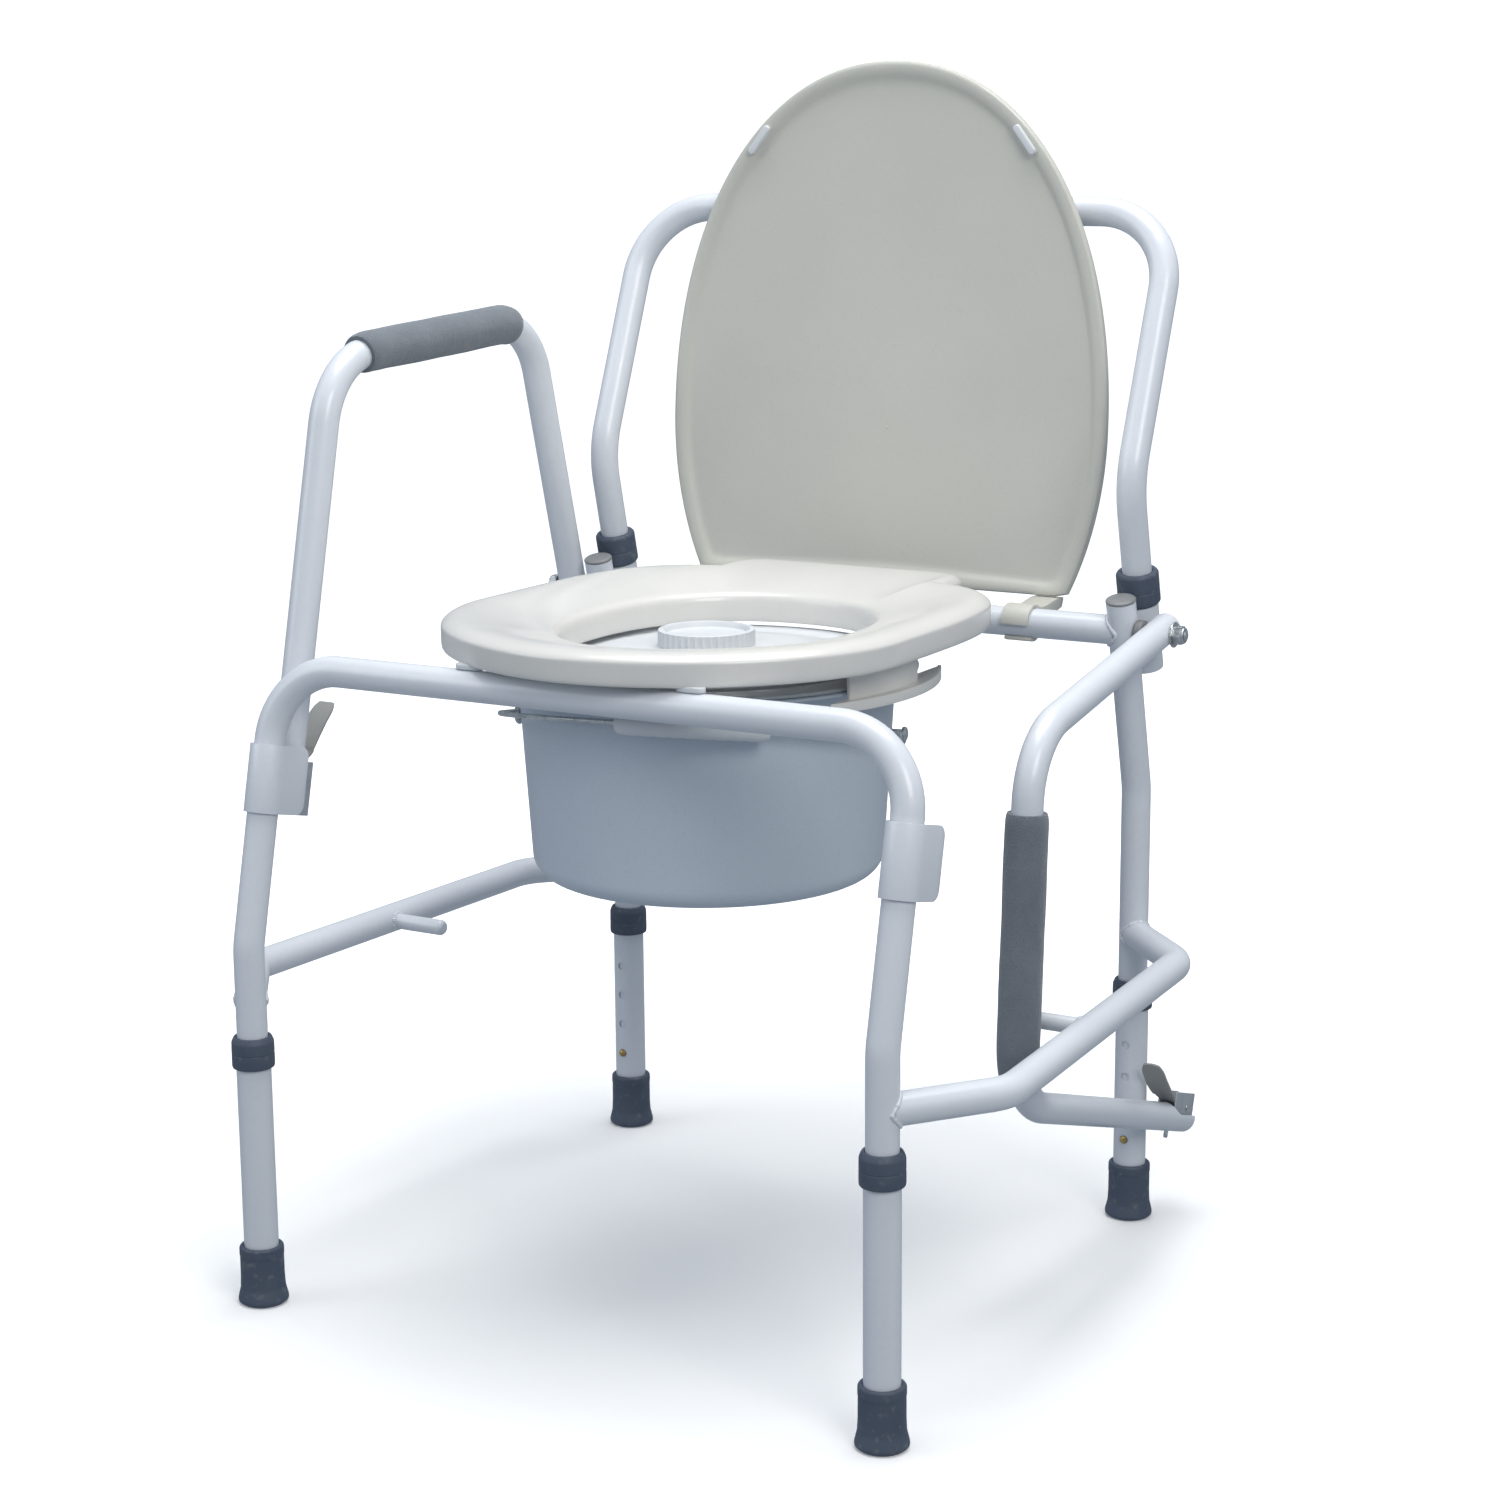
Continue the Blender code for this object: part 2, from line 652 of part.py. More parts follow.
def arm(side):
    word = side_name(side)
    path = [arm_offset(p, side) for p in ARM_PATH]
    obj = tube(f"arm_tube_{word}", path, R_TUBE, WHITE, up=(1, 0, 0))
    frame = latch_frame(side)
    corner = 12 * MM
    edge = 3 * MM
    outline = [(20 * MM, -5 * MM), (edge, -5 * MM)]
    for k in range(5):
        turn = math.radians(90 * k / 4)
        outline.append((edge + corner * (1 - math.cos(turn)),
                        41 * MM - corner + corner * math.sin(turn)))
    outline.append((20 * MM, 41 * MM))
    notch = prism(f"cut_arm_notch_{side}", outline, 20 * MM, side_plane(frame), WHITE, 0)
    pin_hole = rod(f"cut_arm_pin_{side}", frame @ Vector((0, -0.02, 30 * MM)),
                   frame @ Vector((0, 0, 30 * MM)), 2.0 * MM, WHITE, 12, (1, 0, 0))
    bore = rod(f"cut_arm_bore_{side}", (side * X_ARM - 0.03, PIVOT.y, PIVOT.z),
               (side * X_ARM + 0.03, PIVOT.y, PIVOT.z), 4.2 * MM, WHITE, 16)
    place_arm_piece(obj, side)
    for cutter, name in ((bore, "pivot_bore"), (notch, "latch_notch"), (pin_hole, "pin_hole")):
        place_arm_piece(cutter, side)
        cut(obj, cutter, name)


def arm_pad(side):
    path = [arm_offset(p, side) for p in reversed(ARM_PATH)]
    stretch = portion(path, PAD_START[side], PAD_LENGTH)
    verts = []
    faces = []
    sides = TUBE_SIDES
    for radius in (R_PAD, R_TUBE + GAP):
        for loop in sweep_rings(stretch, radius, sides, (1, 0, 0)):
            verts += loop
    count = len(stretch)
    for shell in (0, count * sides):
        for i in range(count - 1):
            faces += bridge(shell + i * sides, shell + (i + 1) * sides, sides)
    faces += bridge(0, count * sides, sides)
    faces += bridge((count - 1) * sides, (2 * count - 1) * sides, sides)
    pad = make(f"arm_pad_{side_name(side)}", verts, faces, FOAM)
    place_arm_piece(pad, side)


def latch_body(side):
    wall = 7.5 * MM
    inner = 6.1 * MM
    outline = [(-wall, -5 * MM), (wall, -5 * MM), (wall, 20 * MM), (inner, 20 * MM)]
    outline += [(inner, -3.6 * MM), (-inner, -3.6 * MM), (-inner, 20 * MM), (-wall, 20 * MM)]
    frame = latch_frame(side)
    place = frame @ Matrix.Translation((0, 0, 17.5 * MM))
    body = prism(f"latch_body_{side_name(side)}", outline, 19.5 * MM, place, SHEET)
    hole = rod(f"cut_latch_pin_{side}", frame @ Vector((0, -8 * MM, 30 * MM)),
               frame @ Vector((0, 0, 30 * MM)), 2.0 * MM, WHITE, 12, (1, 0, 0))
    place_arm_piece(body, side)
    place_arm_piece(hole, side)
    cut(body, hole, "pin_hole")


LEVER_LINE = [(8.5, 9, 5.6), (8.5, 20, 5.6), (10, 29, 5.6), (13.5, 38, 5.6), (17, 45, 8.6),
              (22, 56, 9.3), (28.5, 67, 9.3), (35, 76, 8.6), (39, 81, 6.4)]
LEVER_AXIS = Vector((0, 8.5, 12)) * MM


def latch_lever(side):
    """The curved thumb paddle, a plate whose width changes along its length."""
    frame = latch_frame(side)
    half = 0.9
    verts = []
    faces = []
    line = [Vector((y, z)) for y, z, wide in LEVER_LINE]
    for i, (y, z, wide) in enumerate(LEVER_LINE):
        ahead = line[min(i + 1, len(line) - 1)] - line[max(i - 1, 0)]
        normal = Vector((-ahead.y, ahead.x)).normalized() * half
        for sign in (-1, 1):
            for x in (-wide, wide):
                verts.append(frame @ (Vector((x, y + sign * normal.x, z + sign * normal.y)) * MM))
    for i in range(len(LEVER_LINE) - 1):
        a = 4 * i
        b = a + 4
        faces += [(a, a + 1, b + 1, b), (a + 2, b + 2, b + 3, a + 3)]
        faces += [(a, b, b + 2, a + 2), (a + 1, a + 3, b + 3, b + 1)]
    last = 4 * (len(LEVER_LINE) - 1)
    faces += [(0, 2, 3, 1), (last, last + 1, last + 3, last + 2)]
    lever = make(f"latch_lever_{side_name(side)}", verts, faces, PADDLE)
    place_arm_piece(lever, side, frame @ LEVER_AXIS)


def latch_pin(side):
    frame = latch_frame(side)
    pin = rod(f"latch_pin_{side_name(side)}", frame @ Vector((0, -16.5 * MM, 30 * MM)),
              frame @ Vector((0, 4 * MM, 30 * MM)), 1.7 * MM, ZINC, 10, (1, 0, 0))
    place_arm_piece(pin, side, frame @ Vector((0, 0, 30 * MM)))


def pivot_fastener(side):
    word = side_name(side)
    y = post_y(Z_AXLE)
    start = X_REAR + 4 * MM
    shank = 4.0 * MM
    inner = X_ARM + R_TUBE + 1.6 * MM
    profile = [(0, start), (shank, start), (shank, inner + 9 * MM), (0, inner + 9 * MM)]
    lathe(f"pivot_bolt_{word}", profile, (0, 0, 0), ZINC, 16, "X").data.transform(
        Matrix.Translation((0, y, Z_AXLE)) @ Matrix.Rotation(
            0 if side > 0 else math.pi, 4, "Z"))
    bore = shank + 0.15 * MM
    washer = [(bore, inner - 1.3 * MM), (9.5 * MM, inner - 1.3 * MM), (9.5 * MM, inner)]
    washer += [(7.2 * MM, inner + GAP), (7.2 * MM, inner + 6 * MM), (5.6 * MM, inner + 8 * MM)]
    washer += [(bore, inner + 8 * MM)]
    nut = lathe(f"pivot_nut_{word}", washer, (0, 0, 0), ZINC, 18, "X")
    nut.data.transform(Matrix.Translation((0, y, Z_AXLE)) @ Matrix.Rotation(
        0 if side > 0 else math.pi, 4, "Z"))


# ---------------------------------------------------------------- seat and lid

def polar(inside, centre, angle):
    """Distance from centre to the edge of a shape in one direction."""
    low = 0.0
    high = 0.6
    for _ in range(40):
        middle = (low + high) / 2
        point = (centre[0] + middle * math.cos(angle), centre[1] + middle * math.sin(angle))
        if inside(*point):
            low = middle
        else:
            high = middle
    return low


SEAT_CENTRE = (0, 232 * MM)


def in_seat(x, y):
    """A rounded front running into a squarer back, with a tongue over the crossbar."""
    if y < SEAT_WIDEST:
        depth = (SEAT_WIDEST - y) / (SEAT_WIDEST - SEAT_FRONT)
        power = 1.88
    else:
        depth = (y - SEAT_WIDEST) / (SEAT_REAR - SEAT_WIDEST)
        power = 4.2
    if abs(x / SEAT_HALF) ** power + depth ** power <= 1:
        return True
    spread = (y - SEAT_REAR + 60 * MM) / (TONGUE_BACK - SEAT_REAR + 60 * MM)
    return y > SEAT_WIDEST and abs(x / TONGUE_HALF) ** 9 + spread ** 9 <= 1


def in_hole(x, y):
    middle = (HOLE_FRONT + HOLE_BACK) / 2
    across = abs(x / HOLE_HALF) ** 2.25
    return across + abs((y - middle) / (HOLE_BACK - middle)) ** 2.25 <= 1


TONGUE_ANGLE = math.degrees(math.atan2(TONGUE_BACK - SEAT_CENTRE[1], TONGUE_HALF))
ROOT_ANGLE = math.degrees(math.atan2(SEAT_REAR - SEAT_CENTRE[1], TONGUE_HALF))


def seat_angles():
    """Even steps, with finer ones round the corners of the hinge tongue."""
    angles = [8.0 * k for k in range(45) if abs(abs(8.0 * k - 90) - 27) > 6]
    for mark in (TONGUE_ANGLE, ROOT_ANGLE):
        for step in (-2.6, -1.2, 0.2, 1.6):
            angles += [mark + step, 180 - mark - step]
    return [math.radians(a) for a in sorted(angles)]


def seat_rows(angle):
    """(share of the way out, shift, height) round one radial section of the seat."""
    degrees = math.degrees(angle)
    tongue = ROOT_ANGLE + 0.5 < degrees < 179.5 - ROOT_ANGLE
    low = Z_SEAT_UNDER - 2 * MM if tongue else Z_SEAT_SKIRT
    rows = [(0, 0, Z_SEAT_GUARD), (0, 0, 481 * MM), (0, 2.5 * MM, 485.5 * MM)]
    rows += [(0, 8 * MM, 488.5 * MM), (0.38, 0, 495.2 * MM), (0.68, 0, 498.8 * MM)]
    rows += [(1, -15 * MM, Z_SEAT_CROWN), (1, -7 * MM, 499.4 * MM), (1, -2 * MM, 496.6 * MM)]
    rows += [(1, 0, 494 * MM), (1, 0, low + 2 * MM), (1, -2 * MM, low), (1, -6 * MM, low)]
    rows += [(1, -7 * MM, Z_SEAT_UNDER), (0, 14 * MM, Z_SEAT_UNDER)]
    rows += [(0, 4 * MM, Z_SEAT_UNDER - 2 * MM), (0, 4 * MM, Z_SEAT_GUARD)]
    return rows


def seat():
    angles = seat_angles()
    count = len(angles)
    verts = []
    for angle in angles:
        inner = polar(in_hole, SEAT_CENTRE, angle)
        outer = polar(in_seat, SEAT_CENTRE, angle)
        for share, shift, z in seat_rows(angle):
            reach = inner + share * (outer - inner) + shift
            verts.append((SEAT_CENTRE[0] + reach * math.cos(angle),
                          SEAT_CENTRE[1] + reach * math.sin(angle), z))
    faces = []
    wide = len(seat_rows(0))
    for i in range(count):
        a = i * wide
        b = (i + 1) % count * wide
        for k in range(wide):
            n = (k + 1) % wide
            faces.append((a + k, a + n, b + n, b + k))
    obj = make("seat", verts, faces, SEAT_PLASTIC, 40)
    seat_origin(obj, (0, Y_AXLE, Z_AXLE))


def in_lid(u, v):
    if v < LID_FOOT:
        return False
    if v >= LID_WIDEST:
        return abs(u / LID_HALF) ** 2.15 + ((v - LID_WIDEST) / (LID_LENGTH - LID_WIDEST)) ** 2.15 <= 1
    return abs(u / LID_HALF) ** 2 + ((v - LID_WIDEST) / (243 * MM)) ** 2 <= 1


def lid_frame():
    """Local X across, local Y up the open lid, local Z out of its underside."""
    turn = math.radians(LID_LEAN)
    along = Vector((0, math.sin(turn), math.cos(turn)))
    out = Vector((0, -math.cos(turn), math.sin(turn)))
    across = along.cross(out)
    matrix = Matrix((across, along, out)).transposed().to_4x4()
    return Matrix.Translation((0, Y_AXLE, Z_AXLE)) @ matrix


def lid():
    face = -LID_STANDOFF
    back = face - LID_DEPTH
    middle = (0, 175 * MM)
    rows = [(13 * MM, face - 4 * MM), (8 * MM, face - 0.6 * MM), (3 * MM, face)]
    rows += [(0, face - 2 * MM), (0, back + 5 * MM), (3 * MM, back + 1.5 * MM)]
    rows += [(12 * MM, back)]
    count = 56
    place = lid_frame()
    verts = []
    for k in range(count):
        angle = 2 * math.pi * (k + 0.5) / count
        edge = polar(in_lid, middle, angle)
        for inset, w in rows:
            reach = edge - inset
            verts.append(place @ Vector((middle[0] + reach * math.cos(angle),
                                         middle[1] + reach * math.sin(angle), w)))
    wide = len(rows)
    faces = []
    for i in range(count):
        a = i * wide
        b = (i + 1) % count * wide
        for k in range(wide - 1):
            faces.append((a + k, a + k + 1, b + k + 1, b + k))
    front = len(verts)
    verts.append(place @ Vector((middle[0], middle[1], face - 4.5 * MM)))
    verts.append(place @ Vector((middle[0], middle[1], back - 1.5 * MM)))
    for i in range(count):
        a = i * wide
        b = (i + 1) % count * wide
        faces.append((front, a, b))
        faces.append((front + 1, b + wide - 1, a + wide - 1))
    obj = make("lid", verts, faces, LID_PLASTIC, 40)
    seat_origin(obj, (0, Y_AXLE, Z_AXLE))


def clip_outline(arm_from, arm_to, arm_points):
    """A ring section, open at one side, with an arm; angles from +Y towards +Z."""
    outer = R_TUBE + 3.0 * MM
    inner = R_TUBE + 0.35 * MM
    points = []
    steps = 18
    for k in range(steps + 1):
        degrees = -120 + 300 * k / steps
        if arm_from < degrees < arm_to:
            if arm_points:
                points += arm_points
                arm_points = []
            continue
        turn = math.radians(degrees)
        points.append((outer * math.cos(turn), outer * math.sin(turn)))
    for k in range(steps, -1, -1):
        turn = math.radians(-120 + 300 * k / steps)
        points.append((inner * math.cos(turn), inner * math.sin(turn)))
    return points


def clip(name, x, half, outline, mat):
    place = side_plane(Matrix.Translation((x, Y_AXLE, Z_AXLE)))
    obj = prism(name, outline, half, place, mat)
    seat_origin(obj, (0, Y_AXLE, Z_AXLE))


def hinge_clips():
    top = Z_SEAT_UNDER - GAP - Z_AXLE
    seat_arm = [(4 * MM, 12.9 * MM), (4 * MM, top), (-8 * MM, top), (-8 * MM, 12.5 * MM)]
    lid_arm = [(16 * MM, -1 * MM), (50 * MM, 5 * MM), (52.5 * MM, 10.5 * MM)]
    lid_arm += [(52.5 * MM, 12.2 * MM), (41 * MM, 12.9 * MM), (20 * MM, 10.2 * MM)]
    for side in (-1, 1):
        word = side_name(side)
        clip(f"seat_clip_{word}", side * 62 * MM, 12 * MM, clip_outline(60, 120, seat_arm),
             SEAT_PLASTIC)
        clip(f"lid_clip_{word}", side * 146 * MM, 11 * MM, clip_outline(-8, 46, lid_arm),
             LID_PLASTIC)


def join(obj, other, name):
    """Adds a hidden shape to an object."""
    cut(obj, other, name)
    obj.modifiers[name].operation = "UNION"


def arc_points(radius, front, back, side, steps=10):
    """Points of an arc about the pail's middle, at one side of the chair."""
    turns = [math.radians(front + (back - front) * k / steps) for k in range(steps + 1)]
    return [(side * radius * math.cos(t), radius * math.sin(t)) for t in turns]


def pail_rails():
    """A curved shelf under the pail's rim, hung from the seat by a web."""
    shelf = Z_PAIL_TOP - 1.7 * MM
    top = Z_SEAT_UNDER - GAP
    reach = math.degrees(math.acos(146 / 166.7))
    for side in (-1, 1):
        place = Matrix.Translation((0, Y_PAIL, shelf - 1.3 * MM))
        obj = prism(f"pail_rail_{side_name(side)}", arc_points(166.7 * MM, -reach, reach, side),
                    1.3 * MM, place, SEAT_PLASTIC)
        outline = arc_points(168 * MM, -29.5, 29.5, side)
        outline += list(reversed(arc_points(165.5 * MM, -29.5, 29.5, side)))
        place = Matrix.Translation((0, Y_PAIL, shelf - 3.45 * MM))
        join(obj, prism(f"join_lip_{side}", outline, 3.5 * MM, place, SEAT_PLASTIC), "lip")
        outline = arc_points(159.5 * MM, -22, 8, side)
        outline += list(reversed(arc_points(156.8 * MM, -22, 8, side)))
        place = Matrix.Translation((0, Y_PAIL, (shelf - 1.9 * MM + top - 1.2 * MM) / 2))
        web = prism(f"join_web_{side}", outline, (top - shelf + 0.7 * MM) / 2, place, SEAT_PLASTIC)
        join(obj, web, "web")
        outline = arc_points(161.5 * MM, -23, 9, side)
        outline += list(reversed(arc_points(146 * MM, -23, 9, side)))
        place = Matrix.Translation((0, Y_PAIL, top - 1.2 * MM))
        flange = prism(f"join_flange_{side}", outline, 1.2 * MM, place, SEAT_PLASTIC)
        join(obj, flange, "flange")
        seat_origin(obj, (0, Y_AXLE, Z_AXLE))


# ---------------------------------------------------------------- pail

def pail():
    rim = Z_PAIL_TOP
    foot = Z_PAIL_FOOT
    wall = PAIL_WALL
    corner = R_PAIL_CORNER
    turns = [math.radians(a) for a in (90, 67, 45, 22, 2)]
    heart = (R_PAIL_FOOT - corner, foot + corner)
    profile = [(0, foot + 2 * MM), (heart[0] - 8 * MM, foot + 2 * MM), (heart[0] - 4 * MM, foot)]
    profile += [(heart[0] + corner * math.cos(t), heart[1] - corner * math.sin(t)) for t in turns]
    profile += [(R_PAIL_TOP - GAP, rim - 1.4 * MM), (152 * MM, rim - 1.4 * MM)]
    profile += [(152 * MM, rim + 1 * MM), (R_PAIL_TOP - wall, rim + 1 * MM)]
    for t in (turns[4], turns[2], turns[0]):
        inner = corner - wall
        profile.append((heart[0] + inner * math.cos(t), heart[1] - inner * math.sin(t)))
    profile += [(heart[0] - 12 * MM, foot + 4.6 * MM), (0, foot + 4.6 * MM)]
    obj = lathe("pail", profile, (0, Y_PAIL, 0), PAIL_PLASTIC, 36)
    seat_origin(obj, (0, Y_PAIL, Z_PAIL_TOP))


def pail_lid():
    z = Z_PAIL_TOP + 1.3 * MM
    profile = [(0, z + 20.4 * MM), (30 * MM, z + 20.4 * MM), (30 * MM, z + 24.4 * MM)]
    profile += [(33.5 * MM, z + 24.9 * MM), (35.5 * MM, z + 22.9 * MM), (35.5 * MM, z + 12.4 * MM)]
    profile += [(60 * MM, z + 11.4 * MM), (84 * MM, z + 8.4 * MM), (90 * MM, z + 2.4 * MM)]
    profile += [(150 * MM, z + 2.4 * MM), (150 * MM, z), (88 * MM, z)]
    profile += [(82 * MM, z + 6 * MM), (60 * MM, z + 8.9 * MM), (33 * MM, z + 9.9 * MM)]
    profile += [(33 * MM, z + 17.9 * MM), (0, z + 17.9 * MM)]
    obj = lathe("pail_lid", profile, (0, Y_PAIL, 0), PAIL_LID_PLASTIC, 36)
    seat_origin(obj, (0, Y_PAIL, Z_PAIL_TOP))


HANDLE_TURN = math.radians(12.5)
HANDLE_REST = math.radians(11)
HANDLE_REACH = 149 * MM
Z_RIVET = 415.5 * MM


def handle_point(angle, radius=HANDLE_REACH, drop=0.0, lift=HANDLE_REST):
    """A point of the bail; angle 0 is its middle, at the front."""
    along = Vector((math.cos(HANDLE_TURN), math.sin(HANDLE_TURN), 0))
    ahead = Vector((math.sin(HANDLE_TURN), -math.cos(HANDLE_TURN), 0))
    ahead = ahead * math.cos(lift) + Vector((0, 0, math.sin(lift)))
    below = along.cross(ahead)
    centre = Vector((0, Y_PAIL, Z_RIVET))
    return (centre + radius * (math.sin(angle) * along + math.cos(angle) * ahead)
            + drop * below)


def handle():
    centre = Vector((0, Y_PAIL, Z_RIVET))
    loop = 6.6 * MM
    points = []
    along = Vector((math.cos(HANDLE_TURN), math.sin(HANDLE_TURN), 0))
    for end in (-1, 1):
        eye = []
        for k in range(9):
            turn = math.radians(200 - 215 * k / 8)
            flat = handle_point(0, loop) - centre
            down = along.cross(flat)
            eye.append(centre + along * end * (HANDLE_REACH - 4 * MM)
                       + flat * math.cos(turn) + down * math.sin(turn))
        points.append(eye)
    arc = [handle_point(math.radians(a), HANDLE_REACH) for a in range(-78, 79, 6)]
    route = points[0] + arc + list(reversed(points[1]))
    wire = tube("pail_handle", route, 1.9 * MM, ZINC, 0, 8, (0, 0, 1))
    seat_origin(wire, centre)
    grip = [handle_point(math.radians(a), HANDLE_REACH) for a in range(-6, 35, 5)]
    obj = tube("handle_grip", grip, 8.5 * MM, PAIL_LID_PLASTIC, 6.0 * MM, 12, (0, 0, 1))
    seat_origin(obj, centre)


# ---------------------------------------------------------------- assembly

front_frame()
crossbar()
for side in (-1, 1):
    rear_leg(side)
    side_rail(side)
    stop_peg(side)
    catch_bracket(side)
    post_cap(side)
    backrest_sleeve(side)
    backrest_collar(side)
    arm(side)
    arm_pad(side)
    latch_body(side)
    latch_lever(side)
    latch_pin(side)
    pivot_fastener(side)
backrest()
for label, x, y, facing, top in leg_places():
    leg_extension(label, x, y, facing, top)
    leg_collar(label, x, y, top)
    foot_tip(label, x, y)
    snap_button(label, x, y, facing)
seat()
lid()
hinge_clips()
pail_rails()
pail()
pail_lid()
handle()

for obj in bpy.data.objects:
    obj.location.y -= Y_MIDDLE
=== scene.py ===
import json
import math

import bpy
import bmesh
from mathutils import Matrix, Vector, noise

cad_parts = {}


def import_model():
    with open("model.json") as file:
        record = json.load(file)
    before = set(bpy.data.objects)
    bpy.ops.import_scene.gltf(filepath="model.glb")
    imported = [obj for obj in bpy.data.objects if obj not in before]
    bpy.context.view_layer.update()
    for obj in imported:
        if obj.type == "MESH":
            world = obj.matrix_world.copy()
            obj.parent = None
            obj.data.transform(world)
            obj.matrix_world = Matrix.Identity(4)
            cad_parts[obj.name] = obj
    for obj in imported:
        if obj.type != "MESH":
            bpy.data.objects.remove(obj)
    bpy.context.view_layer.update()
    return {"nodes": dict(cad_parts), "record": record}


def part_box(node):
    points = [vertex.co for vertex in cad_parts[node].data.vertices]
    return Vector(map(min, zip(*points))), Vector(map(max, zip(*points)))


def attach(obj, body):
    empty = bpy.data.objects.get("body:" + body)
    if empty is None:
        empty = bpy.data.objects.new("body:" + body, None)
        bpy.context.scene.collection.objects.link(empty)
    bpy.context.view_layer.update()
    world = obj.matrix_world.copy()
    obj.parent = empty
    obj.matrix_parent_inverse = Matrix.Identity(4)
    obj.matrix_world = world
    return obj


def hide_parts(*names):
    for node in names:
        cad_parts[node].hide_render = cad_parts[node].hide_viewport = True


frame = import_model()
RECORD = frame["record"]
BODY_OF = {n: b for b, group in RECORD["behaviour"]["bodies"].items() for n in group}
SLOT_OF = {s["node"]: s["material_slot"] for s in RECORD["subparts"]}
MM = 0.001


def mm(*points):
    """Points given in millimetres, as metres."""
    return [tuple(value * MM for value in point) for point in points]


def middle_of(node):
    low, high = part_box(node)
    return (low + high) / 2


# ------------------------------------------------------------------ sizes, from the frame

_front = middle_of("leg_extension_front_right")
_rear = middle_of("leg_extension_rear_right")
_axle = middle_of("rear_crossbar")
Y0 = _front.y                       # the front legs' plane; all lines below are drawn from it
X_FRONT = _front.x
X_REAR = _rear.x
Y_REAR = _rear.y - Y0
Y_AXLE = _axle.y - Y0
Z_AXLE = _axle.z
R_TUBE = 11.1 * MM
R_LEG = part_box("leg_extension_front_right")[1].x - _front.x
Z_FRONT_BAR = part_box("front_frame")[1].z - R_TUBE
Y_FRONT_BAR = 45.5 * MM
Z_FRONT_KNEE = 267 * MM
Z_REAR_KNEE = 343 * MM
Y_POST_TOP, Z_POST_TOP = 428.5 * MM, 490 * MM
Z_RAIL = middle_of("side_rail_right").z
RAIL_FRONT, RAIL_REAR = (308 * MM, 72 * MM), (291 * MM, 403 * MM)
PEG_Y = middle_of("stop_peg_right").y - Y0
PEG_TIP_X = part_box("stop_peg_right")[0].x
X_ARM, X_ARM_TIP = 257.5 * MM, 254 * MM
ARM_DROP = 85.0                     # degrees
PAD_LENGTH, PAD_START = 196 * MM, {-1: 347 * MM, 1: 324 * MM}
R_PAD = 15.3 * MM
X_BACK, SLEEVE_BACK = 230 * MM, 31 * MM
Z_SLEEVE, Z_BACK_COLLAR = 459 * MM, 499 * MM
Z_CATCH, Z_BRACKET = 391.6 * MM, 385 * MM
Z_HOLE, HOLE_PITCH, HOLES = 65 * MM, 25.4 * MM, 4
Z_SEAT_UNDER = 483 * MM
Z_PAIL_TOP, Z_PAIL_FOOT = 458.6 * MM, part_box("pail")[0].z
Y_PAIL = middle_of("pail").y - Y0
R_PAIL_TOP, R_PAIL_FOOT = 136.5 * MM, 127.5 * MM
GAP = 0.3 * MM
STRAIGHT = math.acos(-0.985)        # a bend flatter than this isn't a corner


def word(side):
    return "left" if side < 0 else "right"


# ------------------------------------------------------------------ materials

class Nodes:
    """Short calls for building one node material."""

    def __init__(self, name, base, rough, metal=0.0, **sockets):
        self.mat = bpy.data.materials.new("look_" + name)
        self.mat.use_nodes = True
        self.tree = self.mat.node_tree
        self.shader = self.tree.nodes["Principled BSDF"]
        self.shader.inputs["Base Color"].default_value = (*base, 1)
        self.shader.inputs["Roughness"].default_value = rough
        self.shader.inputs["Metallic"].default_value = metal
        for key, value in sockets.items():
            self.shader.inputs[key.replace("_", " ")].default_value = value
        self.where = self.tree.nodes.new("ShaderNodeTexCoord").outputs["Object"]
        self.base = base

    def node(self, kind, **values):
        made = self.tree.nodes.new("ShaderNode" + kind)
        for key, value in values.items():
            if hasattr(made, key):
                setattr(made, key, value)
            else:
                made.inputs[key.replace("_", " ")].default_value = value
        return made

    def link(self, a, b):
        self.tree.links.new(a, b)

    def spot(self, scale, detail=3.0, stretch=None, kind="TexNoise"):
        """Noise or cells over the piece's own coordinates; stretch makes them run one way."""
        made = self.node(kind)
        made.inputs["Scale"].default_value = scale
        if kind == "TexNoise":
            made.inputs["Detail"].default_value = detail
            made.inputs["Roughness"].default_value = 0.5
        where = self.where
        if stretch:
            mapping = self.node("Mapping")
            mapping.inputs["Scale"].default_value = stretch
            self.link(where, mapping.inputs["Vector"])
            where = mapping.outputs["Vector"]
        self.link(where, made.inputs["Vector"])
        return made.outputs["Distance"] if kind == "TexVoronoi" else made.outputs[0]

    def ramp(self, value, low, high, to_low=0.0, to_high=1.0):
        made = self.node("MapRange")
        ends = {"From Min": low, "From Max": high, "To Min": to_low, "To Max": to_high}
        for key, number in ends.items():
            made.inputs[key].default_value = number
        self.link(value, made.inputs["Value"])
        return made.outputs["Result"]

    def tint(self, fac, colour, under=None):
        """Mixes a colour over what lies under it, by fac."""
        mix = self.node("Mix", data_type="RGBA")
        self.link(fac, mix.inputs["Factor"])
        first, second, result = mix.inputs[6], mix.inputs[7], mix.outputs[2]
        first.default_value = (*self.base, 1)
        second.default_value = (*colour, 1)
        if under is not None:
            self.link(under, first)
        self.link(result, self.shader.inputs["Base Color"])
        return result

    def roughness(self, value, low, high):
        self.link(self.ramp(value, 0.3, 0.7, low, high), self.shader.inputs["Roughness"])

    def bump(self, layers):
        """layers: (height output, distance in metres), small ones last."""
        normal = None
        for height, distance in layers:
            made = self.node("Bump")
            made.inputs["Strength"].default_value = 1.0
            made.inputs["Distance"].default_value = distance
            self.link(height, made.inputs["Height"])
            if normal is not None:
                self.link(normal, made.inputs["Normal"])
            normal = made.outputs["Normal"]
        self.link(normal, self.shader.inputs["Normal"])


